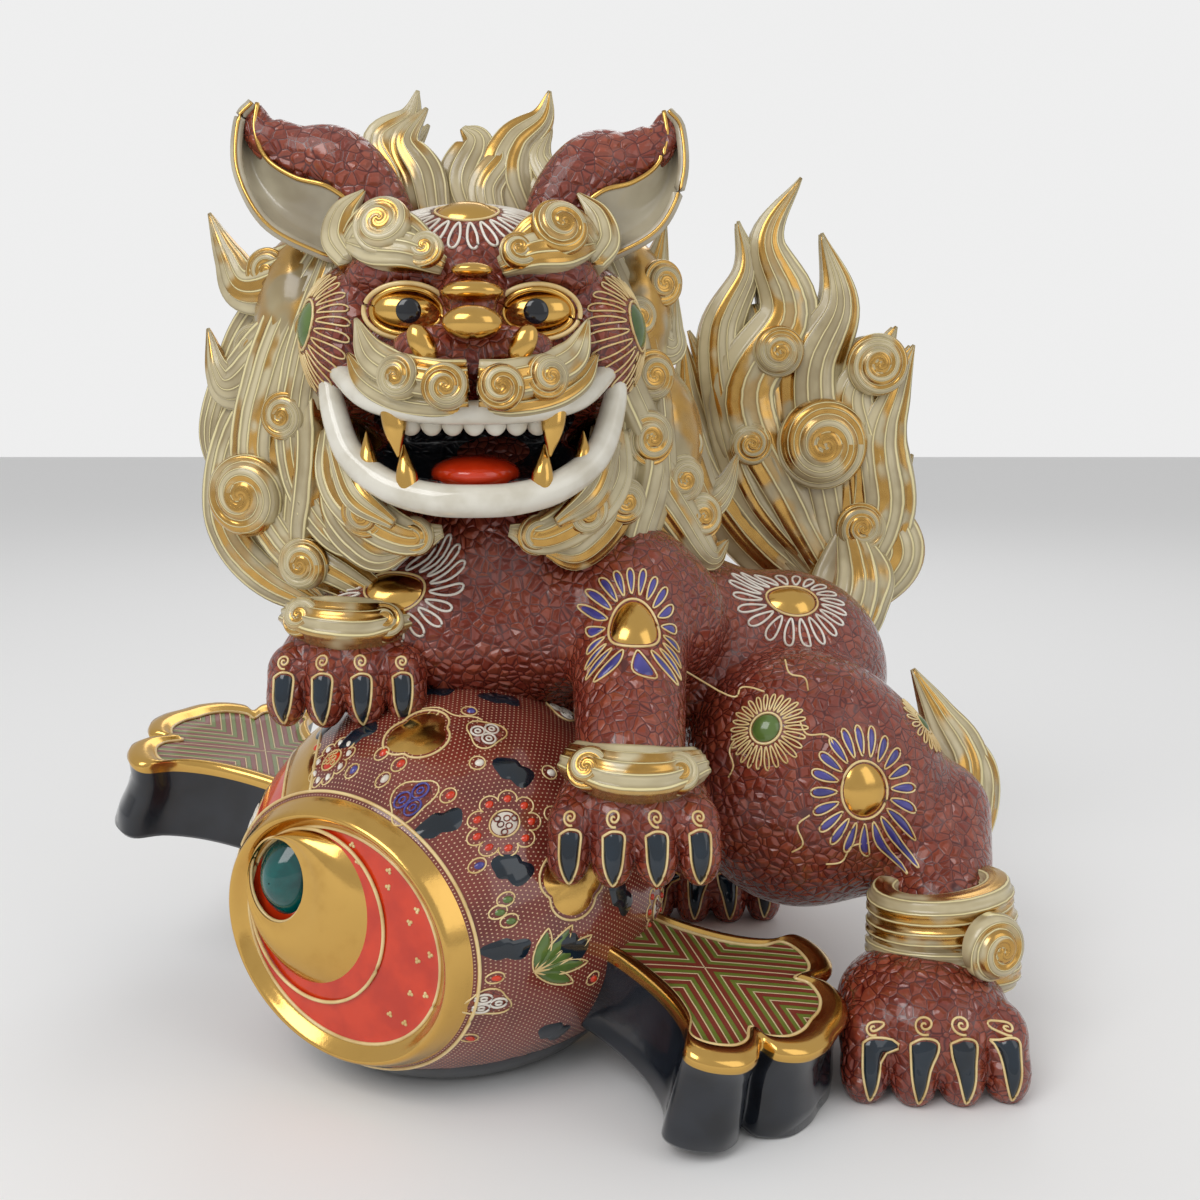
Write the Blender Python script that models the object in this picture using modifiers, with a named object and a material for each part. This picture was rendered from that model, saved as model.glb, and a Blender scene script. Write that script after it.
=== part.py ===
"""Foo dog statue: a porcelain guardian lion that leans on a large lucky mallet.

The statue is cast and pressed as separate clay pieces that are luted together
and fired.  Each piece is one object here.  Units are metres, +Z is up, the lion
faces -Y, and left means the -X side.  The whole group is set on the floor at
the end, with the middle of its base at the origin.
"""
import math

import bmesh
import bpy
from mathutils import Matrix, Vector

MM = 0.001
GAP = 0.3 * MM            # slip joint left between two luted pieces
WALL = 7.0 * MM           # cast wall of the hollow pieces

# ---- driving sizes, in millimetres -------------------------------------
DRUM_CENTRE = (-51, -23, 72)
DRUM_YAW = 29.0           # degrees that the drum's axis turns from -Y to -X
DRUM_ROLL = 14.0          # degrees that the cross-beam dips on the right
DRUM_HALF_WIDTH = 96
DRUM_HALF_HEIGHT = 90
DRUM_HALF_LENGTH = 82
DISC_HALF_WIDTH = 64
DISC_HALF_HEIGHT = 57
DISC_RISE = 8             # how far the moulded disc stands off the drum
GEM_RADIUS = 17
GEM_SHIFT = (-22, 9)      # gem's place on the disc: across, up
BEAM_DROP = 9             # beam's middle plane below the drum's centre
BEAM_THICKNESS = 40
WING_ROOT_HALF = 22
WING_CORNER = 150         # distance from the drum's centre to the side lobes
WING_TIP = 188            # distance from the drum's centre to the middle lobe
WING_HALF_SPREAD = 60
FOOT_HALF_LENGTH = 52     # black foot under the drum, along its axis
FOOT_HEIGHT = 12

HEAD_CENTRE = (-43, 0, 315)
HEAD_YAW = 5.0
HEAD_HALF_WIDTH = 75
HEAD_HALF_DEPTH = 68
HEAD_HALF_HEIGHT = 62
MOUTH_HALF_WIDTH = 44
MOUTH_HALF_HEIGHT = 18
JAW_DROP = 50             # jaw's centre below the head's centre
JAW_HALF_WIDTH = 50

CHEST = (-18, 20, 190)
RUMP = (108, 52, 150)
CHEST_HALF_WIDTH = 74
RUMP_HALF_WIDTH = 58
THIGH_HALF_HEIGHT = 62
PAW_HALF_WIDTH = 40
PAW_HALF_LENGTH = 42
PAW_HALF_HEIGHT = 30
FOREPAW_HALF_WIDTH = 32
NEAR_HIND_PAW = (157, -76)
FAR_HIND_PAW = (78, 114)
TAIL_ROOT = (152, 100, 170)
TAIL_HEIGHT = 240
TAIL_HALF_THICKNESS = 20

COLOURS = {               # name: (red, green, blue, roughness, metallic)
    "skin": (0.26, 0.05, 0.03, 0.15, 0.0),
    "hair": (0.62, 0.55, 0.32, 0.18, 0.0),
    "gold": (0.62, 0.38, 0.09, 0.2, 1.0),
    "black": (0.01, 0.012, 0.016, 0.1, 0.0),
    "drum": (0.22, 0.035, 0.02, 0.15, 0.0),
    "teal": (0.0, 0.1, 0.09, 0.1, 0.0),
    "red": (0.65, 0.06, 0.02, 0.12, 0.0),
    "white": (0.75, 0.72, 0.62, 0.15, 0.0),
}

PARTS = bpy.data.collections.new("foo_dog_statue")
GUIDES = bpy.data.collections.new("cutters")
WHOLE = {}                # each piece's full form before it is trimmed


# ---- tools ---------------------------------------------------------------
def start_clean():
    for old in list(bpy.data.objects):
        bpy.data.objects.remove(old, do_unlink=True)
    bpy.context.scene.collection.children.link(PARTS)
    bpy.context.scene.collection.children.link(GUIDES)


def glaze(name):
    """The Principled material of one glaze."""
    if name in bpy.data.materials:
        return bpy.data.materials[name]
    red, green, blue, roughness, metallic = COLOURS[name]
    material = bpy.data.materials.new(name)
    material.use_nodes = True
    shader = material.node_tree.nodes["Principled BSDF"]
    shader.inputs["Base Color"].default_value = (red, green, blue, 1.0)
    shader.inputs["Roughness"].default_value = roughness
    shader.inputs["Metallic"].default_value = metallic
    return material


def new_object(name, mesh, collection=PARTS):
    made = bpy.data.objects.new(name, mesh)
    collection.objects.link(made)
    return made


def settle(item):
    """Turn the object's modifiers into plain mesh."""
    graph = bpy.context.evaluated_depsgraph_get()
    mesh = bpy.data.meshes.new_from_object(item.evaluated_get(graph), depsgraph=graph)
    item.modifiers.clear()
    item.data = mesh


def keep_largest(item):
    """Drop the loose slivers that a trim can leave, and keep the main body."""
    form = bmesh.new()
    form.from_mesh(item.data)
    bmesh.ops.remove_doubles(form, verts=form.verts, dist=1e-6)
    islands, seen = [], set()
    for seed in form.verts:
        if seed in seen:
            continue
        island, front = [], [seed]
        seen.add(seed)
        while front:
            vert = front.pop()
            island.append(vert)
            for edge in vert.link_edges:
                other = edge.other_vert(vert)
                if other not in seen:
                    seen.add(other)
                    front.append(other)
        islands.append(island)
    main = max(islands, key=len)
    for island in islands:
        if island is not main:
            bmesh.ops.delete(form, geom=island, context="VERTS")
    bmesh.ops.triangulate(form, faces=form.faces)
    bmesh.ops.dissolve_degenerate(form, edges=form.edges, dist=1e-6)
    bmesh.ops.recalc_face_normals(form, faces=form.faces)
    form.to_mesh(item.data)
    form.free()


def ball(form, centre, radii, turn=0.0, rings=14):
    """Add one ellipsoid to a bmesh; sizes are in millimetres, turn is about Z."""
    place = Matrix.Translation(Vector(centre) * MM)
    size = Matrix.Diagonal(Vector((*[r * MM for r in radii], 1.0)))
    spin = Matrix.Rotation(math.radians(turn), 4, "Z")
    bmesh.ops.create_uvsphere(
        form, u_segments=2 * rings, v_segments=rings, radius=1.0, matrix=place @ spin @ size
    )


def flame(form, points, radii, flat=1.0):
    """Add a tapering lock: balls strung along a smooth curve through the points.

    flat squeezes the lock front to back."""
    steps = 7
    last = len(points) - 1
    for span in range(last):
        for step in range(steps):
            t = step / steps
            ends = [Vector(points[max(0, min(last, span + k))]) for k in (-1, 0, 1, 2)]
            sizes = [radii[span], radii[span + 1]]
            a, b, c, d = ends
            spot = 0.5 * (2 * b + (c - a) * t + (2 * a - 5 * b + 4 * c - d) * t * t
                          + (3 * b - a - 3 * c + d) * t ** 3)
            radius = sizes[0] * (1 - t) + sizes[1] * t
            ball(form, spot, (radius, max(radius * flat, 2.5), radius), rings=8)
    tip = radii[-1]
    ball(form, points[last], (tip, max(tip * flat, 2.5), tip), rings=6)


def clay(name, colour, balls=(), flames=(), voxel=4.0, faces=130, smooth=4, frame=None, flat=0.6):
    """Model one soft clay piece: balls and locks melted together, smoothed and thinned.

    faces is about how many triangles the piece keeps before it is trimmed."""
    form = bmesh.new()
    for one in balls:
        ball(form, *one)
    for one in flames:
        flame(form, *one, flat=flat)
    mesh = bpy.data.meshes.new(name)
    form.to_mesh(mesh)
    form.free()
    if frame is not None:
        mesh.transform(frame)
    item = new_object(name, mesh)
    melt = item.modifiers.new("melt", "REMESH")
    melt.mode = "VOXEL"
    melt.voxel_size = voxel * MM
    ease = item.modifiers.new("ease", "SMOOTH")
    ease.iterations = smooth
    ease.factor = 0.5
    settle(item)
    thin = item.modifiers.new("thin", "DECIMATE")
    thin.ratio = min(1.0, faces / (2.0 * len(item.data.polygons)))
    settle(item)
    finish(item, colour)
    return item


def finish(item, colour):
    """Give the piece its glaze and remember its full form."""
    keep_largest(item)
    item.data.materials.clear()
    item.data.materials.append(glaze(colour))
    item.data.shade_smooth()
    WHOLE[item.name] = item.data.copy()


def cutter_from(mesh, gap):
    """A guide object: the mesh grown outwards by the gap."""
    form = bmesh.new()
    form.from_mesh(mesh)
    bmesh.ops.recalc_face_normals(form, faces=form.faces)
    form.normal_update()
    for vert in form.verts:
        vert.co += vert.normal * gap
    grown = bpy.data.meshes.new("cutter")
    form.to_mesh(grown)
    form.free()
    guide = new_object("cutter", grown, GUIDES)
    guide.hide_render = True
    guide.display_type = "WIRE"
    return guide


def trim(item, others, gap=GAP * 1.3, whole=True):
    """Cut the piece back to its seat on each neighbour."""
    for name in others:
        mesh = WHOLE[name] if whole else bpy.data.objects[name].data
        guide = cutter_from(mesh, gap)
        cut = item.modifiers.new("seat", "BOOLEAN")
        cut.operation = "DIFFERENCE"
        cut.solver = "EXACT"
        cut.object = guide
        settle(item)
        bpy.data.objects.remove(guide, do_unlink=True)
    keep_largest(item)


def carve(item, guide):
    """Take one guide shape out of the piece."""
    guide.hide_render = True
    guide.display_type = "WIRE"
    cut = item.modifiers.new("carve", "BOOLEAN")
    cut.operation = "DIFFERENCE"
    cut.solver = "EXACT"
    cut.object = guide
    settle(item)
    bpy.data.objects.remove(guide, do_unlink=True)
    keep_largest(item)


def box_guide(low, high):
    """A block between two corners, as a guide."""
    form = bmesh.new()
    middle = (Vector(low) + Vector(high)) * 0.5 * MM
    size = (Vector(high) - Vector(low)) * MM
    place = Matrix.Translation(middle) @ Matrix.Diagonal(Vector((*size, 1.0)))
    bmesh.ops.create_cube(form, size=1.0, matrix=place)
    mesh = bpy.data.meshes.new("block")
    form.to_mesh(mesh)
    form.free()
    return new_object("block", mesh, GUIDES)


def ball_guide(centre, radii, frame=None, rings=8):
    form = bmesh.new()
    ball(form, centre, radii, rings=rings)
    mesh = bpy.data.meshes.new("hollow")
    form.to_mesh(mesh)
    form.free()
    if frame is not None:
        mesh.transform(frame)
    return new_object("hollow", mesh, GUIDES)


def stand_on_floor(item):
    """Cut the underside flat at floor level."""
    carve(item, box_guide((-400, -400, -200), (400, 400, 0)))


# ---- frames ---------------------------------------------------------------
def drum_frame():
    """X runs along the cross-beam, Y back along the drum's axis, Z up."""
    place = Matrix.Translation(Vector(DRUM_CENTRE) * MM)
    yaw = Matrix.Rotation(-math.radians(DRUM_YAW), 4, "Z")
    roll = Matrix.Rotation(math.radians(DRUM_ROLL), 4, "Y")
    return place @ yaw @ roll


def head_frame():
    place = Matrix.Translation(Vector(HEAD_CENTRE) * MM)
    return place @ Matrix.Rotation(math.radians(HEAD_YAW), 4, "Z")


def on_drum(across, up, back, stand):
    """A point that stands off the drum's skin; across and up set its direction."""
    bulge = 1 - (back / DRUM_HALF_LENGTH) ** 2
    half_width = DISC_HALF_WIDTH + (DRUM_HALF_WIDTH - DISC_HALF_WIDTH) * bulge
    half_height = DISC_HALF_HEIGHT + (DRUM_HALF_HEIGHT - DISC_HALF_HEIGHT) * bulge
    scale = 1.0 / math.hypot(across / half_width, up / half_height)
    reach = math.hypot(across, up) * scale + stand
    length = math.hypot(across, up)
    spot = Vector((across / length * reach, back, up / length * reach)) * MM
    return tuple((drum_frame() @ spot) / MM)


# ---- the mallet -------------------------------------------------------------
def drum_profile(inset, samples=7):
    """Half of the drum's outline, from the back disc to the front one: (radius, along)."""
    length = DRUM_HALF_LENGTH - inset
    points = []
    for k in range(samples):
        along = length * (1 - 2 * k / (samples - 1))
        bulge = 1 - (along / length) ** 2
        points.append((DISC_HALF_HEIGHT - inset + (DRUM_HALF_HEIGHT - DISC_HALF_HEIGHT) * bulge, along))
    return points


def turned(name, outline, steps=24):
    """Turn an outline of (radius, along) about the drum's axis, and widen it to an oval."""
    form = bmesh.new()
    verts = [form.verts.new((0, a * MM, 0) if r <= 0 else (r * MM, a * MM, 0)) for r, a in outline]
    for one, two in zip(verts, verts[1:]):
        form.edges.new((one, two))
    mesh = bpy.data.meshes.new(name)
    form.to_mesh(mesh)
    form.free()
    item = new_object(name, mesh)
    screw = item.modifiers.new("turn", "SCREW")
    screw.axis = "Y"
    screw.steps = steps
    screw.render_steps = steps
    screw.use_merge_vertices = True
    screw.merge_threshold = 0.00001
    settle(item)
    oval = DRUM_HALF_WIDTH / DRUM_HALF_HEIGHT
    item.data.transform(drum_frame() @ Matrix.Diagonal(Vector((oval, 1, 1, 1))))
    return item


def make_drum():
    """Hollow drum with an open vent in its flat underside."""
    outline = [(0, DRUM_HALF_LENGTH)] + drum_profile(0) + [(0, -DRUM_HALF_LENGTH)]
    drum = turned("mallet_drum", outline)
    finish(drum, "drum")
    carve(drum, box_guide((-400, -400, -200), (400, 400, FOOT_HEIGHT + GAP / MM)))
    inner = [(0, DRUM_HALF_LENGTH - WALL / MM)] + drum_profile(WALL / MM)
    hollow = turned("hollow", inner + [(0, WALL / MM - DRUM_HALF_LENGTH)], steps=16)
    carve(drum, hollow)
    return drum


def make_foot():
    """Black foot ring: the drum's own section near the floor, open in the middle."""
    foot = turned("mallet_foot", [(0, DRUM_HALF_LENGTH)] + drum_profile(0) + [(0, -DRUM_HALF_LENGTH)])
    carve(foot, box_guide((-400, -400, FOOT_HEIGHT), (400, 400, 400)))
    carve(foot, box_guide((-400, -400, -200), (400, 400, 0)))
    x, y, z = DRUM_CENTRE
    carve(foot, ball_guide((x, y, 6), (FOOT_HALF_LENGTH - 22, FOOT_HALF_LENGTH - 22, 40)))
    finish(foot, "black")
    return foot


def disc_outline(side):
    """Moulded disc with a raised rim and a shallow dished middle."""
    face = side * (DRUM_HALF_LENGTH + GAP * 1.5 / MM)
    rim = DISC_HALF_HEIGHT - 2
    rise = side * DISC_RISE
    return [(0, face + 0.8 * rise), (rim * 0.55, face + 0.75 * rise), (rim * 0.8, face + 0.6 * rise),
            (rim * 0.9, face + rise), (rim, face + 0.7 * rise), (rim, face), (0, face)]


def make_discs():
    for name, side in (("mallet_front_disc", -1), ("mallet_back_disc", 1)):
        outline = disc_outline(side)
        disc = turned(name, outline if side > 0 else outline[::-1])
        finish(disc, "gold")
        trim(disc, ["mallet_drum"], whole=True)


def make_gems():
    for name, side, disc in (("front_gem", -1, "mallet_front_disc"), ("back_gem", 1, "mallet_back_disc")):
        across, up = GEM_SHIFT
        along = side * (DRUM_HALF_LENGTH + DISC_RISE * 0.8)
        gem = clay(name, "teal", [((across * side * -1, along, up), (GEM_RADIUS, 9, GEM_RADIUS * 1.15))],
                   voxel=2.5, faces=90, frame=drum_frame())
        trim(gem, [disc])


def wing_outline():
    """Half of the cross-beam in plan: waisted root, flared end with three round lobes."""
    root, spread = WING_ROOT_HALF, WING_HALF_SPREAD
    start = DRUM_HALF_WIDTH - 22
    side = [(start, root), (start + 24, root + 3), (WING_CORNER - 24, root + 16), (WING_CORNER - 6, spread - 6),
            (WING_CORNER, spread), (WING_CORNER + 10, spread - 6), (WING_CORNER + 19, spread - 18),
            (WING_CORNER + 17, spread - 33), (WING_TIP - 8, spread - 36), (WING_TIP - 2, spread - 48)]
    return side + [(WING_TIP, 0)] + [(x, -y) for x, y in reversed(side)]


def make_wings():
    """Two lobed ends of the mallet's cross-beam, luted to the drum's sides."""
    for name, side in (("mallet_wing_left", -1), ("mallet_wing_right", 1)):
        curve = bpy.data.curves.new(name, "CURVE")
        curve.dimensions = "2D"
        curve.fill_mode = "BOTH"
        curve.extrude = BEAM_THICKNESS / 2 * MM
        points = wing_outline()
        line = curve.splines.new("POLY")
        line.points.add(len(points) - 1)
        for spot, (x, y) in zip(line.points, points):
            spot.co = (side * x * MM, -y * MM, 0, 1)
        line.use_cyclic_u = True
        outline = new_object("outline", curve, GUIDES)
        graph = bpy.context.evaluated_depsgraph_get()
        mesh = bpy.data.meshes.new_from_object(outline.evaluated_get(graph), depsgraph=graph)
        bpy.data.objects.remove(outline, do_unlink=True)
        mesh.transform(drum_frame() @ Matrix.Translation((0, 0, -BEAM_DROP * MM)))
        wing = new_object(name, mesh)
        finish(wing, "black")
        stand_on_floor(wing)
        WHOLE[name] = wing.data.copy()
        trim(wing, ["mallet_drum", "mallet_foot"])


# ---- the lion's body ---------------------------------------------------------
def torso_balls(inset):
    """Chest, waist, rump and neck; inset shrinks them for the hollow inside."""
    cx, cy, cz = CHEST
    rx, ry, rz = RUMP
    hx, hy, hz = HEAD_CENTRE
    waist = [(c + r) / 2 for c, r in zip(CHEST, RUMP)]
    neck = ((cx + hx) / 2, (cy + hy) / 2 + 6, (cz + hz) / 2 - 14)
    return [
        ((cx, cy, cz), (CHEST_HALF_WIDTH - inset, 54 - inset, 58 - inset), 15),
        ((waist[0], waist[1], waist[2]), (66 - inset, 46 - inset, 48 - inset), 15),
        ((rx, ry, rz), (RUMP_HALF_WIDTH - inset, 50 - inset, 55 - inset), 20),
        (neck, (50 - inset, 44 - inset, 44 - inset)),
    ]


def make_torso():
    """Cast hollow; the cavity opens at the neck, under the head."""
    torso = clay("torso", "skin", torso_balls(0), voxel=5.0, faces=450, smooth=6)
    trim(torso, ["mallet_drum", "mallet_wing_right"])
    hollow = clay("hollow", "skin", torso_balls(WALL / MM + 3), voxel=7.0, faces=180, smooth=3)
    hx, hy, hz = HEAD_CENTRE
    carve(torso, hollow)
    carve(torso, ball_guide((hx + 4, hy + 12, hz - 52), (18, 18, 30)))


def make_hind_legs():
    """Two hind legs: thigh, lower leg, ankle cuff, paw and the tuft on the hock."""
    for side, paw, hip, turn in (("right", NEAR_HIND_PAW, (112, -8), 0), ("left", FAR_HIND_PAW, (84, 104), 0)):
        px, py = paw
        hx, hy = hip
        top = RUMP[2] - 38
        thigh = clay(f"hind_thigh_{side}", "skin",
                     [((hx, hy, top), (58 if side == "right" else 46, 46, THIGH_HALF_HEIGHT)),
                      ((hx + 30, hy + 4, top - 6), (40, 34, 44))], voxel=5.0, faces=220)
        trim(thigh, ["torso", "mallet_drum", "mallet_wing_right"])
        back = 1 if side == "right" else 0.5
        shin = clay(f"hind_shin_{side}", "skin",
                    [((px + 18 * back, py + 68 * back + 6, 84), (27, 27, 33)),
                     ((px + 14 * back, py + 40 * back + 4, 62), (27, 26, 26))], voxel=4.0, faces=130)
        trim(shin, ["torso", f"hind_thigh_{side}", "mallet_wing_right"])
        cuff = clay(f"ankle_cuff_{side}", "hair",
                    [((px + 10, py + 20, 50), (34, 27, 19)), ((px + 24, py + 16, 50), (19, 20, 19))],
                    voxel=3.5, faces=130)
        trim(cuff, [f"hind_thigh_{side}", f"hind_shin_{side}"])
        foot = clay(f"hind_paw_{side}", "skin",
                    [((px, py + 4, 24), (PAW_HALF_WIDTH, PAW_HALF_LENGTH - 4, PAW_HALF_HEIGHT))]
                    + [((px + k * PAW_HALF_WIDTH * 0.5, py - PAW_HALF_LENGTH * 0.55, 22),
                        (13, 20, PAW_HALF_HEIGHT - 6)) for k in (-1.5, -0.5, 0.5, 1.5)],
                    voxel=4.0, faces=130)
        stand_on_floor(foot)
        trim(foot, [f"ankle_cuff_{side}", f"hind_shin_{side}", f"hind_thigh_{side}", "mallet_wing_right"])
        sx, sy = px + 18 * back, py + 68 * back + 6
        tuft = clay(f"hock_tuft_{side}", "hair", [((sx + 10, sy + 26, 88), (20, 15, 26))],
                    [([(sx + 10, sy + 26, 84), (sx + 14, sy + 36, 112), (sx + 6, sy + 38, 134),
                       (sx - 3, sy + 40, 154)], [18, 15, 10, 3])], voxel=3.5, faces=130)
        trim(tuft, ["torso", f"hind_thigh_{side}", f"hind_shin_{side}", f"ankle_cuff_{side}"])


def make_forelegs():
    """Two forelegs that lean on the drum, with cuffs of hair at the wrists."""
    paws = {"right": on_drum(90, 74, -20, 22), "left": on_drum(-66, 100, -32, 20)}
    shoulders = {"right": (24, -2, 196), "left": (-80, 0, 192)}
    for side in ("right", "left"):
        px, py, pz = paws[side]
        sx, sy, sz = shoulders[side]
        middle = ((px + sx) / 2, (py + sy) / 2 + 6, (pz + sz) / 2)
        leg = clay(f"foreleg_{side}", "skin",
                   [((sx, sy, sz), (38, 36, 38)), (middle, (30, 28, 27))], voxel=4.5, faces=130)
        trim(leg, ["torso", "mallet_drum"])
        foot = clay(f"forepaw_{side}", "skin",
                    [((px, py, pz), (FOREPAW_HALF_WIDTH, 28, 26))]
                    + [((px + k * FOREPAW_HALF_WIDTH * 0.5, py - 16, pz - 10), (10, 14, 22))
                       for k in (-1.5, -0.5, 0.5, 1.5)], voxel=3.5, faces=130)
        trim(foot, ["mallet_drum", "torso", f"foreleg_{side}"])
        lift = 24 if side == "right" else 20
        tuft = clay(f"wrist_tuft_{side}", "hair",
                    [((px - 14, py + 2, pz + lift), (14, 13, 12)), ((px + 12, py + 2, pz + lift - 2), (15, 13, 12))],
                    voxel=3.0, faces=100)
        trim(tuft, [f"foreleg_{side}", f"forepaw_{side}", "torso"])


def make_tail():
    """Flame tail: a thick root and one broad flat blade of hair."""
    x, y, z = TAIL_ROOT
    root = clay("tail_root", "hair", [((x - 4, y - 8, z), (20, 20, 22)), ((x + 6, y + 4, z + 24), (20, 18, 24))],
                voxel=4.0, faces=130)
    trim(root, ["torso", "hind_thigh_right", "hind_thigh_left"])
    top = z + TAIL_HEIGHT
    thick = TAIL_HALF_THICKNESS
    flames = [
        ([(x + 8, y + 12, z + 34), (x - 14, y + 18, z + 90), (x - 34, y + 20, top - 80), (x - 26, y + 22, top - 40),
          (x - 28, y + 24, top)], [26, 44, 38, 22, 3]),
        ([(x + 4, y + 18, z + 80), (x + 24, y + 20, z + 112), (x + 16, y + 20, z + 130), (x + 26, y + 20, z + 152)],
         [26, 20, 12, 3]),
        ([(x + 6, y + 14, z + 46), (x + 26, y + 18, z + 62), (x + 31, y + 20, z + 88)], [24, 14, 3]),
        ([(x - 40, y + 18, z + 96), (x - 66, y + 20, z + 120), (x - 86, y + 20, z + 150)], [26, 16, 3]),
    ]
    blade = clay("tail_flame", "hair", (), flames, voxel=4.0, faces=300, flat=thick / 44)
    trim(blade, ["tail_root", "torso", "hind_thigh_right", "hind_thigh_left"])


# ---- the lion's head ---------------------------------------------------------
def make_head():
    """Skull with cheeks and snout; hollow, open at the neck, with the mouth cut in front."""
    frame = head_frame()
    jaw = clay("lower_jaw", "white", [((0, -26, -JAW_DROP), (JAW_HALF_WIDTH, 46, 18)),
                                      ((0, -58, -JAW_DROP - 4), (30, 18, 13))], voxel=3.5, faces=130, frame=frame)
    snout = [((0, -46, -6), (46, 38, 23)), ((0, -60, 8), (17, 22, 12))]
    skull = [((0, 5, 2), (HEAD_HALF_WIDTH, HEAD_HALF_DEPTH, HEAD_HALF_HEIGHT))]
    cheeks = [((s * 58, -14, -8), (26, 34, 34)) for s in (-1, 1)]
    head = clay("head", "skin", skull + snout + cheeks, voxel=4.5, faces=420, frame=frame)
    trim(head, ["torso", "lower_jaw"])
    mouth = ((0, -52, -40), (MOUTH_HALF_WIDTH, 46, MOUTH_HALF_HEIGHT))
    inner = ((0, 12, 8), (HEAD_HALF_WIDTH - 16, HEAD_HALF_DEPTH - 22, HEAD_HALF_HEIGHT - 16))
    carve(head, ball_guide(*mouth, frame=frame))
    carve(head, ball_guide(*inner, frame=frame))
    carve(head, ball_guide((4, 12, -52), (18, 18, 34), frame=frame))
    carve(jaw, ball_guide(*mouth, frame=frame))
    trim(jaw, ["torso"])


def make_mouth():
    """Tongue, teeth and fangs."""
    frame = head_frame()
    floor = -JAW_DROP - 5
    tongue = clay("tongue", "red", [((0, -46, floor), (19, 24, 7)), ((0, -34, floor + 2), (16, 16, 7))],
                  voxel=2.5, faces=90, frame=frame)
    trim(tongue, ["lower_jaw", "head"], whole=False)
    lip = clay("moustache", "hair",
               [((s * 14, -82, -18), (15, 10, 12)) for s in (-1, 1)]
               + [((s * 34, -72, -17), (16, 12, 13)) for s in (-1, 1)],
               [([(s * 38, -70, -14), (s * 50, -62, -4), (s * 52, -58, 10)], [12, 9, 3]) for s in (-1, 1)],
               voxel=3.0, faces=100, frame=frame, flat=0.9)
    trim(lip, ["head"])
    trim(lip, ["lower_jaw"])
    teeth = clay("upper_teeth", "white", [((k * 8, -80 + abs(k) * 1.5, -31), (6, 5, 6)) for k in range(-3, 4)],
                 voxel=2.0, faces=70, frame=frame)
    trim(teeth, ["moustache", "head", "lower_jaw"])
    fangs = {
        "upper_fang_left": ([(-33, -72, -27), (-33, -72, -36), (-32, -73, -46)], [7, 6, 2.2]),
        "upper_fang_right": ([(33, -72, -27), (33, -72, -36), (32, -73, -46)], [7, 6, 2.2]),
        "lower_fang_left": ([(-27, -70, -61), (-27, -71, -53), (-27, -72, -42)], [7, 5.5, 2.2]),
        "lower_fang_right": ([(27, -70, -61), (27, -71, -53), (27, -72, -42)], [7, 5.5, 2.2]),
        "lower_fang_outer": ([(-43, -52, -48), (-43, -53, -42), (-43, -54, -35)], [6.5, 5, 2.2]),
    }
    for name, (points, radii) in fangs.items():
        fang = clay(name, "gold", (), [(points, radii)], voxel=1.8, faces=50, frame=frame, flat=1.0)
        trim(fang, ["moustache", "upper_teeth"])
        trim(fang, ["lower_jaw", "head"], whole=False)


def make_face():
    """Eyes, brows and nose set on the face."""
    frame = head_frame()
    for side, s in (("left", -1), ("right", 1)):
        brow = clay(f"brow_{side}", "hair", [((s * 36, -45, 41), (17, 16, 13)), ((s * 22, -52, 36), (13, 15, 10))],
                    voxel=3.0, faces=100, frame=frame)
        trim(brow, ["head"])
        eye = clay(f"eye_{side}", "gold", [((s * 27, -57, 13), (15.5, 9, 9))], voxel=2.0, faces=70, frame=frame)
        trim(eye, ["head", f"brow_{side}"])
    nose = clay("nose", "gold", [((0, -83, 8), (12, 9, 7))], voxel=2.0, faces=70, frame=frame)
    trim(nose, ["head", "moustache"])
    bridge = clay("nose_bridge", "gold", [((0, -74, 19), (12, 10, 5))], voxel=2.0, faces=70, frame=frame)
    trim(bridge, ["head", "nose"])


def make_ears():
    frame = head_frame()
    for side, s in (("left", -1), ("right", 1)):
        ear = clay(f"ear_{side}", "skin", [((s * 68, -12, 76), (20, 13, 13))],
                   [([(s * 38, -18, 48), (s * 46, -16, 72), (s * 68, -12, 84), (s * 88, -10, 90), (s * 90, -12, 102)],
                     [15, 16, 14, 12, 7])], voxel=3.5, faces=130, frame=frame, flat=0.85)
        trim(ear, ["head", f"brow_{side}"])


def make_crest():
    """Flames of hair that stand on the crown between the ears."""
    frame = head_frame()
    locks = {
        "crest_flame_left": [([(-14, 2, 52), (-18, 6, 82), (-20, 9, 98), (-22, 10, 114)], [20, 16, 8, 3])],
        "crest_flame_right": [([(16, 2, 52), (16, 6, 78), (28, 9, 96), (35, 10, 114)], [20, 17, 9, 3])],
        "crest_flame_back": [([(0, 26, 50), (0, 30, 74), (4, 34, 92)], [26, 18, 4])],
    }
    earlier = ["head", "ear_left", "ear_right"]
    for name, flames in locks.items():
        lock = clay(name, "hair", (), flames, voxel=3.5, faces=130, frame=frame, flat=0.7)
        trim(lock, earlier)
        earlier.append(name)


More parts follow.
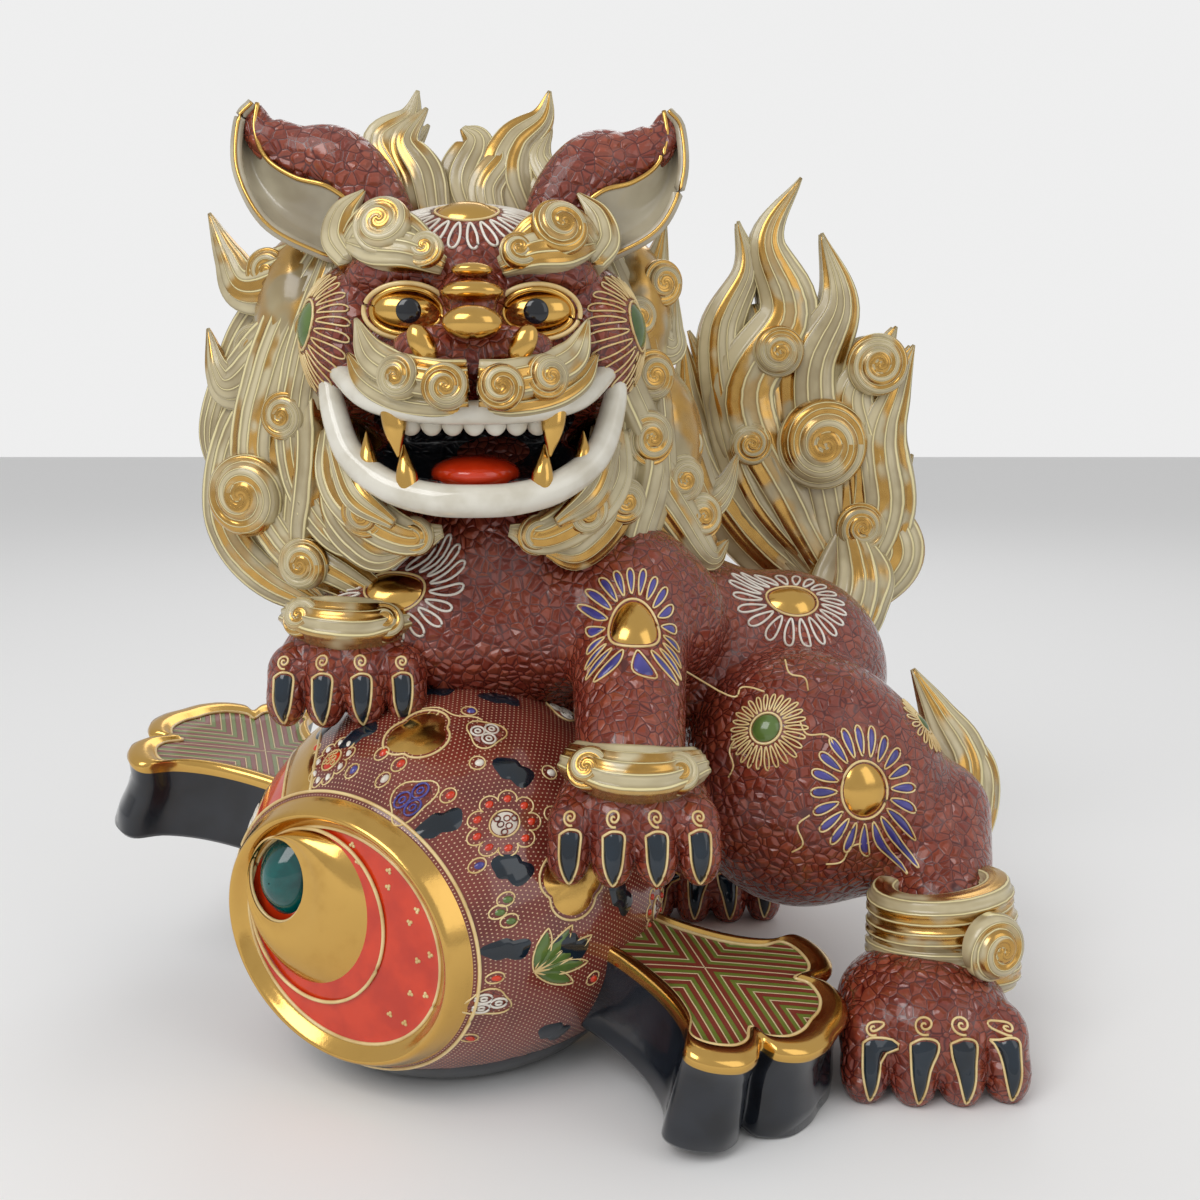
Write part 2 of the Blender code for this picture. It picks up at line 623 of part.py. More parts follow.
def make_mane():
    """Mane in separate moulded locks: upper, middle and lower on each side, and two on the nape."""
    frame = head_frame()
    upper = {
        "left": [([(-68, 14, 22), (-94, 16, 40), (-120, 18, 60)], [24, 17, 3]),
                 ([(-72, 14, -4), (-100, 18, -10), (-124, 20, 8)], [26, 20, 3])],
        "right": [([(62, 14, 22), (80, 16, 40), (92, 18, 57)], [24, 15, 3]),
                  ([(66, 14, 0), (86, 18, 2), (96, 20, 25)], [24, 16, 3])],
    }
    middle = {"left": [((-90, 20, -30), (32, 26, 28)), ((-66, 8, -44), (20, 22, 24))],
              "right": [((82, 14, -38), (26, 24, 28)), ((60, 6, -44), (18, 22, 24))]}
    lower = {"left": [((-102, 12, -70), (29, 22, 31)), ((-66, 2, -76), (30, 22, 24))],
             "right": [((94, 24, -72), (30, 24, 32)), ((62, 4, -74), (24, 22, 22))]}
    chest = {"left": ([(-88, 4, -92), (-72, -14, -104), (-44, -24, -112)], [22, 17, 5]),
             "right": ([(98, 26, -88), (106, 24, -106), (100, 18, -128)], [22, 15, 5])}
    base = ["head", "torso", "lower_jaw"]
    for side in ("left", "right"):
        near = base + [f"ear_{side}", f"foreleg_{side}", f"forepaw_{side}", f"wrist_tuft_{side}"]
        lock = clay(f"mane_upper_{side}", "hair", (), upper[side], voxel=4.0, faces=130, frame=frame, flat=0.75)
        trim(lock, near)
        lock = clay(f"mane_middle_{side}", "hair", middle[side], voxel=4.0, faces=130, frame=frame)
        trim(lock, near + [f"mane_upper_{side}"])
        lock = clay(f"mane_lower_{side}", "hair", lower[side], voxel=4.0, faces=130, frame=frame)
        trim(lock, near + [f"mane_middle_{side}", f"mane_upper_{side}"])
        lock = clay(f"chest_lock_{side}", "hair", (), [chest[side]], voxel=3.5, faces=130, frame=frame, flat=0.8)
        trim(lock, near + [f"mane_lower_{side}", f"mane_middle_{side}"])
    sides = [f"mane_{row}_{side}" for row in ("upper", "middle", "lower") for side in ("left", "right")]
    nape = clay("mane_nape", "hair", [((-8, 52, 10), (70, 30, 48))], voxel=5.0, faces=130, frame=frame)
    trim(nape, ["head", "torso", "crest_flame_back"] + sides)
    back = clay("mane_back", "hair", [((-4, 54, -56), (74, 34, 46)), ((30, 62, -84), (44, 26, 30))], voxel=5.0,
                faces=150, frame=frame)
    trim(back, ["head", "torso", "mane_nape", "chest_lock_right"] + sides)


def make_beard():
    frame = head_frame()
    for side, s in (("left", -1), ("right", 1)):
        beard = clay(f"beard_{side}", "hair", [((s * 42, -44, -64), (16, 14, 14)), ((s * 28, -44, -76), (15, 13, 10))],
                     voxel=3.0, faces=100, frame=frame)
        trim(beard, ["lower_jaw", "lower_fang_outer", "head", "torso", f"mane_lower_{side}", f"mane_middle_{side}",
                     f"chest_lock_{side}"])


def set_on_origin():
    """Move the whole group so that the middle of its base is the origin."""
    low = Vector((1e9, 1e9, 1e9))
    high = -low
    for item in PARTS.objects:
        for vert in item.data.vertices:
            for k in range(3):
                low[k] = min(low[k], vert.co[k])
                high[k] = max(high[k], vert.co[k])
    base = bpy.data.objects.new("statue_base", None)
    PARTS.objects.link(base)
    base.location = (-(low.x + high.x) / 2, -(low.y + high.y) / 2, -low.z)
    for item in PARTS.objects:
        if item is not base:
            item.parent = base


def main():
    start_clean()
    make_drum()
    make_foot()
    make_discs()
    make_gems()
    make_wings()
    make_torso()
    make_hind_legs()
    make_forelegs()
    make_tail()
    make_head()
    make_mouth()
    make_face()
    make_ears()
    make_crest()
    make_mane()
    make_beard()
    set_on_origin()


main()
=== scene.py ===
"""Looks of a porcelain foo dog that leans on a lucky mallet: iron-red pebbled skin, cream hair
with gold, raised enamel flowers, and a red-brown drum with gold, teal and orange."""
import math

import bmesh
import bpy
import numpy as np
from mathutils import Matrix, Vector


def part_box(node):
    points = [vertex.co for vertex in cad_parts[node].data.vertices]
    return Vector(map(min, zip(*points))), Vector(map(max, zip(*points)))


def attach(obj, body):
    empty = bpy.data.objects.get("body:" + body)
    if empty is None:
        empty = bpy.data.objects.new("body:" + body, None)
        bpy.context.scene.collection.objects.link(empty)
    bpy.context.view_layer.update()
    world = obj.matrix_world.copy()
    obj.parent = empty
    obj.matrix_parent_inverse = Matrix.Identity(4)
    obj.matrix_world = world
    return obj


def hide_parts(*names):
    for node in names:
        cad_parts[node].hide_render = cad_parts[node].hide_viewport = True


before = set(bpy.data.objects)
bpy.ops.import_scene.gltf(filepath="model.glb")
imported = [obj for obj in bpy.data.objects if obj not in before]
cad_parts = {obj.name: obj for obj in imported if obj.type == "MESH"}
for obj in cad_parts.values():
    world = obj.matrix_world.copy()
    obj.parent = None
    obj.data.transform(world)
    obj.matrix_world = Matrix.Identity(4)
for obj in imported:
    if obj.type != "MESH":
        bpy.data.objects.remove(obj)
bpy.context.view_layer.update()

MM = 0.001
# ---- layout in millimetres; the drum's foot ties it to the frame ---------------------
DRUM_CENTRE = np.array([-51.0, -23.0, 72.0])
foot_low, foot_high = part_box("mallet_foot")
SHIFT = np.array([(foot_low[k] + foot_high[k]) / 2 / MM - DRUM_CENTRE[k] for k in (0, 1)] + [0.0])
DRUM_YAW, DRUM_ROLL = math.radians(29), math.radians(14)
DRUM_WIDE, DRUM_HIGH, DRUM_LONG = 96.0, 90.0, 82.0      # half sizes
DISC_WIDE, DISC_HIGH = 64.0, 57.0
HEAD_CENTRE = np.array([-43.0, 0.0, 315.0])
HEAD_YAW = math.radians(5)


def turn_z(angle):
    c, s = math.cos(angle), math.sin(angle)
    return np.array([[c, -s, 0], [s, c, 0], [0, 0, 1.0]])


def turn_y(angle):
    c, s = math.cos(angle), math.sin(angle)
    return np.array([[c, 0, s], [0, 1, 0], [-s, 0, c]])


DRUM_TURN = turn_z(-DRUM_YAW) @ turn_y(DRUM_ROLL)
HEAD_TURN = turn_z(HEAD_YAW)


def from_drum(points):
    return np.asarray(points, float) @ DRUM_TURN.T + DRUM_CENTRE


def from_head(points):
    return np.asarray(points, float) @ HEAD_TURN.T + HEAD_CENTRE


def to_head(points):
    return (np.asarray(points, float) - HEAD_CENTRE) @ HEAD_TURN


def unit(vectors):
    vectors = np.asarray(vectors, float)
    return vectors / np.maximum(np.linalg.norm(vectors, axis=-1, keepdims=True), 1e-9)


def smooth_step(value, low, high):
    t = np.clip((value - low) / (high - low), 0, 1)
    return t * t * (3 - 2 * t)


# ---- meshes -----------------------------------------------------------------------
class Clay:
    """Collects surfaces given as grids or meshes, and makes one object of them.

    Every surface has a point array in layout millimetres, a UV pair per point, and a number per point that says how far
    gold lustre covers it on hair, and how far painted shade turns the skin near black inside the mouth."""

    def __init__(self):
        self.points, self.faces, self.uvs, self.slots, self.gilt_and_painted_shade, self.count = [], [], [], [], [], 0

    def mesh(self, points, quads, uv, slot=0, gilt_and_painted_shade=None):
        points = np.asarray(points, float).reshape(-1, 3)
        self.points.append(points)
        self.faces.append(np.asarray(quads, int) + self.count)
        self.uvs.append(np.asarray(uv, float).reshape(-1, 2))
        self.slots.append(np.full(len(quads), slot, int))
        self.gilt_and_painted_shade.append(np.zeros(len(points)) if gilt_and_painted_shade is None else np.asarray(gilt_and_painted_shade, float).reshape(-1))
        self.count += len(points)

    def grid(self, points, uv, slot=0, gilt_and_painted_shade=None, flip=False):
        """points has shape (rows, columns, 3); neighbours in it are joined by quads."""
        rows, columns = points.shape[:2]
        index = np.arange(rows * columns).reshape(rows, columns)
        quads = np.stack([index[:-1, :-1], index[1:, :-1], index[1:, 1:], index[:-1, 1:]], -1).reshape(-1, 4)
        if flip:
            quads = quads[:, ::-1]
        self.mesh(points, quads, uv, slot, gilt_and_painted_shade)

    def build(self, name, glazes, stands_for, weld=0.004, recalculate=True):
        points = (np.concatenate(self.points) + SHIFT) * MM
        quads = np.concatenate(self.faces)
        uv = np.concatenate(self.uvs)
        mesh = bpy.data.meshes.new(name)
        mesh.vertices.add(len(points))
        mesh.vertices.foreach_set("co", points.ravel().astype(np.float32))
        mesh.loops.add(quads.size)
        mesh.loops.foreach_set("vertex_index", quads.ravel().astype(np.int32))
        mesh.polygons.add(len(quads))
        mesh.polygons.foreach_set("loop_start", np.arange(0, quads.size, 4, dtype=np.int32))
        mesh.polygons.foreach_set("material_index", np.concatenate(self.slots).astype(np.int32))
        mesh.update(calc_edges=True)
        layer = mesh.uv_layers.new(name="UVMap")
        layer.data.foreach_set("uv", uv[quads.ravel()].ravel().astype(np.float32))
        gilt_and_painted_shade = mesh.attributes.new("gilt_and_painted_shade", "FLOAT", "POINT")
        gilt_and_painted_shade.data.foreach_set("value", np.concatenate(self.gilt_and_painted_shade).astype(np.float32))
        form = bmesh.new()
        form.from_mesh(mesh)
        bmesh.ops.remove_doubles(form, verts=form.verts, dist=weld * MM)
        bmesh.ops.dissolve_degenerate(form, edges=form.edges, dist=weld * MM)
        if recalculate:
            bmesh.ops.recalc_face_normals(form, faces=form.faces)
        form.to_mesh(mesh)
        form.free()
        mesh.validate()
        mesh.shade_smooth()
        for glaze in glazes:
            mesh.materials.append(glaze)
        piece = bpy.data.objects.new(name, mesh)
        bpy.context.scene.collection.objects.link(piece)
        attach(piece, "root")
        if stands_for:
            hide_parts(*stands_for)
        glaze = glazes[0].name.split(".")[0]
        return piece


def surface_net(field, low, high, step):
    """Mesh of field = 0: one point in each cell that the surface crosses, at the mean of the
    crossings on its edges, and a quad across each grid edge whose ends differ in sign."""
    axes = [np.arange(a, b + step, step) for a, b in zip(low, high)]
    grid = np.stack(np.meshgrid(*axes, indexing="ij"), -1)
    value = field(grid.reshape(-1, 3)).reshape(grid.shape[:3])
    inside = value < 0
    cells = tuple(n - 1 for n in inside.shape)
    total, hits = np.zeros(cells + (3,)), np.zeros(cells)
    for axis in range(3):
        others = [k for k in range(3) if k != axis]
        for one in (0, 1):
            for two in (0, 1):
                start = [0, 0, 0]
                start[others[0]], start[others[1]] = one, two
                end = list(start)
                end[axis] = 1
                a = value[tuple(slice(s, s + n) for s, n in zip(start, cells))]
                b = value[tuple(slice(s, s + n) for s, n in zip(end, cells))]
                cross = (a < 0) != (b < 0)
                t = np.where(cross, a / np.where(cross, a - b, 1.0), 0.0)
                for k in range(3):
                    total[..., k] += cross * (t if k == axis else start[k])
                hits += cross
    mixed = hits > 0
    index = np.full(cells, -1)
    index[mixed] = np.arange(mixed.sum())
    base = np.stack(np.meshgrid(*[ax[:-1] for ax in axes], indexing="ij"), -1)
    points = base[mixed] + step * total[mixed] / hits[mixed][:, None]
    quads = []
    for axis in range(3):
        u, v = [k for k in range(3) if k != axis]
        ahead = [slice(1, -1)] * 3
        behind = [slice(1, -1)] * 3
        behind[axis], ahead[axis] = slice(1, -2), slice(2, -1)
        a, b = inside[tuple(behind)], inside[tuple(ahead)]
        spots = np.argwhere(a != b) + 1
        away = a[a != b]
        corners = []
        for du, dv in ((0, 0), (-1, 0), (-1, -1), (0, -1)):
            at = spots.copy()
            at[:, u] += du
            at[:, v] += dv
            corners.append(index[at[:, 0], at[:, 1], at[:, 2]])
        face = np.stack(corners, -1)
        if axis == 1:
            away = ~away
        face[~away] = face[~away][:, ::-1]
        quads.append(face)
    quads = np.concatenate(quads)
    return points, quads[(quads >= 0).all(1)]


def slope(field, points, reach=0.6):
    """Outward normal of a field, from differences along the three axes."""
    parts = []
    for k in range(3):
        step = np.zeros(3)
        step[k] = reach
        parts.append(field(points + step) - field(points - step))
    return unit(np.stack(parts, -1))


def seat(field, points, rounds=6):
    """Slide points onto the surface field = 0 along its slope."""
    points = np.array(points, float)
    shape = points.shape
    points = points.reshape(-1, 3)
    for _ in range(rounds):
        points = points - slope(field, points) * np.clip(field(points), -6, 6)[:, None]
    return points.reshape(shape), slope(field, points).reshape(shape)


# ---- soft forms ----------------------------------------------------------------------
def egg(points, centre, radii, turn=None):
    """Distance to an ellipsoid: k0 (k0 - 1) / k1, with k0 = |p / r| and k1 = |p / r^2|."""
    local = points - np.asarray(centre, float)
    if turn is not None:
        local = local @ turn
    radii = np.asarray(radii, float)
    near = np.linalg.norm(local / radii, axis=-1)
    far = np.linalg.norm(local / radii ** 2, axis=-1)
    return near * (near - 1) / np.maximum(far, 1e-6)


def limb(points, start, end, first, last):
    """Distance to a rod whose radius goes evenly from first to last."""
    start, end = np.asarray(start, float), np.asarray(end, float)
    along = end - start
    t = np.clip((points - start) @ along / (along @ along), 0, 1)
    return np.linalg.norm(points - start - t[:, None] * along, axis=-1) - (first + (last - first) * t)


def melt(distances, softness):
    """Smooth union of distances: -k log sum exp(-d / k)."""
    stack = np.stack(distances)
    least = stack.min(0)
    return least - softness * np.log(np.exp(-(stack - least) / softness).sum(0))


def path_through(points, count):
    """Catmull-Rom curve through the points, sampled evenly in its parameter."""
    points = np.asarray(points, float)
    padded = np.vstack([2 * points[0] - points[1], points, 2 * points[-1] - points[-2]])
    at = np.linspace(0, len(points) - 1 - 1e-9, count)
    k = at.astype(int)
    t = (at - k)[:, None]
    a, b, c, d = padded[k], padded[k + 1], padded[k + 2], padded[k + 3]
    return 0.5 * (2 * b + (c - a) * t + (2 * a - 5 * b + 4 * c - d) * t ** 2 + (3 * b - a - 3 * c + d) * t ** 3)


def spread(values, count):
    """A list of numbers stretched smoothly over count samples."""
    values = np.asarray(values, float)[:, None] * np.ones((1, 3))
    return path_through(values, count)[:, 0]


# ---- glazes --------------------------------------------------------------------------
class Value:
    """A node socket that can be used in Python sums."""

    def __init__(self, tree, socket):
        self.tree, self.socket = tree, socket

    def math(self, operation, *others, clamp=False):
        node = self.tree.nodes.new("ShaderNodeMath")
        node.operation = operation
        node.use_clamp = clamp
        for k, item in enumerate((self,) + others):
            if isinstance(item, Value):
                self.tree.links.new(item.socket, node.inputs[k])
            else:
                node.inputs[k].default_value = item
        return Value(self.tree, node.outputs[0])

    def constant(self, number):
        node = self.tree.nodes.new("ShaderNodeValue")
        node.outputs[0].default_value = number
        return Value(self.tree, node.outputs[0])

    def __add__(self, other): return self.math("ADD", other)
    __radd__ = __add__
    def __mul__(self, other): return self.math("MULTIPLY", other)
    __rmul__ = __mul__
    def __sub__(self, other): return self.math("SUBTRACT", other)
    def __rsub__(self, other): return (self * -1.0).math("ADD", other)
    def __truediv__(self, other): return self.math("DIVIDE", other)
    def fract(self): return self.math("FRACT")
    def floor(self): return self.math("FLOOR")
    def size(self): return self.math("ABSOLUTE")
    def root(self): return self.math("SQRT")
    def least(self, other): return self.math("MINIMUM", other)
    def most(self, other): return self.math("MAXIMUM", other)

    def rise(self, low, high):
        """0 below low, 1 above high, smooth between."""
        node = self.tree.nodes.new("ShaderNodeMapRange")
        node.interpolation_type = "SMOOTHSTEP"
        self.tree.links.new(self.socket, node.inputs["Value"])
        node.inputs["From Min"].default_value = low
        node.inputs["From Max"].default_value = high
        return Value(self.tree, node.outputs[0])


class Glaze:
    """A glossy fired finish on one Principled shader."""

    def __init__(self, name, roughness=0.14, metallic=0.0, coat=0.0):
        self.material = bpy.data.materials.new(name)
        self.material.use_nodes = True
        self.tree = self.material.node_tree
        self.shader = self.tree.nodes["Principled BSDF"]
        self.shader.inputs["Roughness"].default_value = roughness
        self.shader.inputs["Metallic"].default_value = metallic
        self.shader.inputs["Coat Weight"].default_value = coat
        self.shader.inputs["Coat Roughness"].default_value = 0.05

    def node(self, kind, settings=None, inputs=None):
        made = self.tree.nodes.new("ShaderNode" + kind)
        for key, item in (settings or {}).items():
            setattr(made, key, item)
        for key, item in (inputs or {}).items():
            if isinstance(item, Value):
                self.tree.links.new(item.socket, made.inputs[key])
            else:
                made.inputs[key].default_value = item
        return made

    def out(self, node, key=0):
        return Value(self.tree, node.outputs[key])

    def place(self):
        return self.out(self.node("TexCoord"), "Object")

    def uv(self):
        split = self.node("SeparateXYZ", inputs={0: self.out(self.node("TexCoord"), "UV")})
        return self.out(split, 0), self.out(split, 1)

    def gilt_and_painted_shade(self):
        return self.out(self.node("Attribute", {"attribute_name": "gilt_and_painted_shade"}), "Fac")

    def noise(self, size_mm, detail=2.0, at=None):
        return self.out(self.node("TexNoise", inputs={
            "Vector": at or self.place(), "Scale": 1000.0 / size_mm, "Detail": detail}), 0)

    def mix(self, factor, one, two):
        """Colour one where factor is 0, two where it is 1."""
        node = self.node("Mix", {"data_type": "RGBA"}, {0: factor})
        for slot, item in ((6, one), (7, two)):
            if isinstance(item, Value):
                self.tree.links.new(item.socket, node.inputs[slot])
            else:
                node.inputs[slot].default_value = (*item, 1.0)
        return Value(self.tree, node.outputs[2])

    def set(self, key, item):
        self.tree.links.new(item.socket, self.shader.inputs[key])

    def bump(self, height, distance_mm, strength=1.0):
        node = self.node("Bump", inputs={"Height": height, "Distance": distance_mm * MM, "Strength": strength})
        self.set("Normal", self.out(node))


CREAM, CREAM_SHADE, PALE_LINE = (0.60, 0.52, 0.32), (0.36, 0.29, 0.16), (0.78, 0.68, 0.36)
GOLD, GOLD_DEEP = (0.66, 0.40, 0.11), (0.42, 0.22, 0.045)
SKIN, SKIN_LINE, SKIN_LIGHT = (0.215, 0.030, 0.015), (0.07, 0.006, 0.004), (0.34, 0.075, 0.035)
# painted shade: near black for the inside of the mouth
PAINTED_MOUTH_SHADE = (0.008, 0.010, 0.014)


def make_skin():
    """Iron-red pebbles about 6 mm across with dark seams, under clear glaze; near black painted shade inside the mouth.
    """
    g = Glaze("skin", 0.13, coat=0.4)
    warp = g.node("TexNoise", inputs={"Vector": g.place(), "Scale": 90.0, "Detail": 1.0})
    moved = g.node("VectorMath", {"operation": "MULTIPLY_ADD"}, {
        0: g.out(warp, 1), 1: (0.0035, 0.0035, 0.0035), 2: g.place()})
    at = g.out(moved)
    cells = g.node("TexVoronoi", {"feature": "DISTANCE_TO_EDGE"}, {"Vector": at, "Scale": 205.0})
    tone = g.node("TexVoronoi", {"feature": "F1"}, {"Vector": at, "Scale": 205.0})
    seam = g.out(cells).rise(0.0, 0.09)
    shade = g.out(g.node("SeparateColor", inputs={0: g.out(tone, "Color")}), 0)
    pebble = g.mix(shade * 0.8, SKIN, SKIN_LIGHT)
    pool = g.noise(38.0).rise(0.38, 0.7)
    pebble = g.mix(pool * 0.35, pebble, (0.13, 0.020, 0.014))
    # painted shade: where the per-point value is high, inside the carved mouth, the skin turns near black to stand for
    # the shade in the mouth cavity
    g.set("Base Color", g.mix(g.gilt_and_painted_shade().rise(0.3, 0.7), g.mix(seam, SKIN_LINE, pebble), PAINTED_MOUTH_SHADE))
    g.set("Roughness", 0.10 + 0.12 * g.noise(9.0))
    g.bump(g.out(cells).rise(0.0, 0.42) + 0.06 * g.noise(2.5), 1.5, 1.0)
    return g.material


def make_hair():
    """Cream glaze; UV x counts strands, with a raised pale line on each seam flanked by olive brown that is partly the
    grooves' own brown and partly painted shade, and gold in some.
    """
    g = Glaze("hair", 0.2, coat=0.3)
    u, v = g.uv()
    wave = u + 0.25 * g.noise(22.0)
    strand = wave.floor()
    inside = (wave.fract() - 0.5).size() * 2.0
    line = inside.rise(0.80, 0.93)
    pick = g.out(g.node("TexWhiteNoise", {"noise_dimensions": "1D"}, {"W": strand}), 0)
    some = pick.rise(0.52, 0.56) * (g.noise(26.0).rise(0.40, 0.52))
    gold = (some * (1.0 - line) * (inside.rise(0.95, 0.70))).most(g.gilt_and_painted_shade().rise(0.35, 0.6))
    cream = g.mix(g.noise(30.0, 3.0).rise(0.35, 0.7), CREAM, CREAM_SHADE)
    # partly painted shade: the cream darkens to olive brown towards each seam, the grooves' own brown together with
    # shade painted in beside the pale line
    cream = g.mix(inside.rise(0.35, 0.9) * 0.6, cream, (0.19, 0.13, 0.045))
    body = g.mix(line, cream, PALE_LINE)
    g.set("Base Color", g.mix(gold, body, g.mix(g.noise(7.0), GOLD, GOLD_DEEP)))
    g.set("Metallic", gold)
    g.set("Roughness", 0.17 + 0.12 * g.noise(6.0))
    g.bump(line * 0.8 + (1.0 - inside) * 0.35 + 0.08 * g.noise(3.0), 0.6, 0.7)
    return g.material


def make_gold():
    g = Glaze("gold", 0.2, 1.0)
    worn = g.noise(11.0, 4.0)
    g.set("Base Color", g.mix(worn.rise(0.5, 1.0) * 0.6, GOLD, GOLD_DEEP))
    g.set("Roughness", 0.12 + 0.1 * g.noise(5.0, 3.0))
    g.bump(g.noise(14.0, 1.0) + 0.15 * g.noise(1.6), 0.5, 0.35)
    return g.material


def make_plain(name, colour, deep, roughness=0.1, size=16.0):
    """A glossy enamel that pools darker in places."""
    g = Glaze(name, roughness, coat=0.3)
    g.set("Base Color", g.mix(g.noise(size, 3.0).rise(0.35, 0.7), colour, deep))
    g.set("Roughness", roughness * 0.7 + 0.1 * g.noise(7.0))
    g.bump(g.noise(9.0, 1.0), 0.25, 0.4)
    return g.material


def make_drum_glaze():
    """Red-brown ground with staggered rows of tiny raised cream dots; UV is in millimetres."""
    g = Glaze("drum", 0.13, coat=0.4)
    u, v = g.uv()
    row = (v / 1.75).floor()
    across = (u / 2.3 + row * 0.5).fract() - 0.5
    along = (v / 1.75).fract() - 0.5
    far = (across * across * 5.3 + along * along * 3.06).root()
    dot = far.rise(0.42, 0.28)
    ground = g.mix(g.noise(24.0, 3.0).rise(0.35, 0.7), (0.20, 0.034, 0.022), (0.13, 0.020, 0.014))
    g.set("Base Color", g.mix(dot, ground, (0.70, 0.45, 0.28)))
    g.set("Roughness", 0.1 + 0.08 * g.noise(8.0))
    g.bump(dot + 0.1 * g.noise(5.0), 0.25, 0.8)
    return g.material


def make_stripes():
    """Nested chevrons about an X: bands of ||x| - |y||, UV in millimetres."""
    g = Glaze("stripes", 0.3, coat=0.05)
    u, v = g.uv()
    band = ((u.size() * 0.9 - v.size()).size() / 7.0).fract()
    cream = (band - 0.5).size().rise(0.40, 0.47)
    green = band.rise(0.52, 0.56)
    ground = g.mix(green, (0.23, 0.03, 0.02), (0.16, 0.22, 0.03))
    ground = g.mix(g.noise(8.0) * 0.4, ground, (0.07, 0.05, 0.02))
    g.set("Base Color", g.mix(cream, ground, (0.75, 0.60, 0.34)))
    g.bump(cream + green * 0.4 + 0.1 * g.noise(4.0), 0.5, 0.8)
    return g.material


SKIN_GLAZE = make_skin()
HAIR = make_hair()
GOLD_LUSTRE = make_gold()
BLACK = make_plain("black", (0.012, 0.015, 0.022), (0.004, 0.005, 0.008), 0.08)
WHITE = make_plain("white", (0.72, 0.69, 0.60), (0.58, 0.54, 0.44), 0.1)
TEAL = make_plain("teal", (0.0, 0.115, 0.105), (0.0, 0.05, 0.05), 0.07)
RED = make_plain("red", (0.66, 0.040, 0.006), (0.52, 0.025, 0.004), 0.1)
DRUM_GLAZE = make_drum_glaze()
STRIPES = make_stripes()
EXTRA = {
    "line": make_plain("line", (0.80, 0.62, 0.30), (0.62, 0.42, 0.16), 0.2),
    "blue": make_plain("blue", (0.075, 0.065, 0.30), (0.035, 0.03, 0.17), 0.1),
    "petal": make_plain("petal", (0.80, 0.76, 0.68), (0.62, 0.55, 0.46), 0.12),
    "green": make_plain("green", (0.10, 0.17, 0.035), (0.05, 0.09, 0.02), 0.12),
    "night": make_plain("night", (0.006, 0.016, 0.028), (0.003, 0.008, 0.014), 0.08),
    "scoop": make_plain("scoop", (0.50, 0.45, 0.33), (0.36, 0.31, 0.22), 0.18, 30.0),
}


# ---- surfaces that follow a path or lie on a form ---------------------------------------
def frames_along(path, facing):
    """Tangent, sideways and outward directions along a path."""
    ahead = unit(np.gradient(path, axis=0))
    facing = np.broadcast_to(np.asarray(facing, float), path.shape)
    side = unit(np.cross(ahead, facing))
    return ahead, side, np.cross(side, ahead)


def lock(clay, points, widths, facing=(0, -1, 0), thick=0.55, strands=5, slot=0, groove=0.16, samples=34,
         start_strand=0.0, gilt_and_painted_shade=0.0):
    """Lock of hair: a lens section carried along a curve, its surface pressed in between strands.

    The section is (w cos t, h sin t); its size falls by the groove where a strand ends."""
    path = path_through(points, samples)
    width = np.maximum(spread(widths, samples), 0.25)
    ahead, side, out = frames_along(path, facing)
    t = np.linspace(0, 2 * np.pi, 49)
    across = (1 - np.cos(t)) / 2 * strands
    press = 1 - groove * np.abs(np.cos(np.pi * across)) ** 3
    x = np.cos(t) * press
    y = np.sin(t) * press * thick
    ring = path[:, None] + width[:, None, None] * (x[None, :, None] * -side[:, None] + y[None, :, None] * out[:, None])
    ring = np.concatenate([np.broadcast_to(path[:1, None], ring[:1].shape), ring,
                           np.broadcast_to(path[-1:, None], ring[:1].shape)])
    length = np.linspace(0, 1, samples + 2)
    uv = np.stack(np.broadcast_arrays(across[None, :] + 0.5 + start_strand, length[:, None] * 8), -1)
    clay.grid(ring, uv, slot, np.full(ring.shape[:2], gilt_and_painted_shade))


def curl(clay, centre, facing, radius, depth=0.5, turns=1.6, hand=1, start=0.0, slot=0, up=(0, 0, 1), strands=3):
    """Snail curl: a dome whose top is pressed along a spiral, phase = turns * rho + angle / 2 pi."""
    facing = unit(facing)
    right = unit(np.cross(facing, up)) * -1
    upward = np.cross(right, facing) * -1
    a = np.linspace(0, np.pi, 44)[:, None]
    theta = np.linspace(0, 2 * np.pi, 61)[None, :]
    rho, height = np.sin(a), np.cos(a)
    phase = turns * rho + hand * theta / (2 * np.pi) + start
    top = np.clip(height, 0, 1)
    ridge = 1 - np.abs(2 * (phase % 1.0) - 1) ** 3
    lift = radius * depth * (np.where(height > 0, np.abs(height) ** 0.8, height * 0.5)
                             + 0.32 * (ridge - 0.5) * np.sqrt(rho) * (top > 0))
    spot = (centre + radius * rho[..., None] * (np.cos(theta)[..., None] * right + np.sin(theta)[..., None] * upward)
            + lift[..., None] * facing)
    uv = np.stack([phase * strands, np.broadcast_to(rho * 3, phase.shape)], -1)
    inner = np.exp(-(rho / 0.42) ** 4) * (top > 0) * (ridge > 0.35)
    clay.grid(spot, uv, slot, inner)


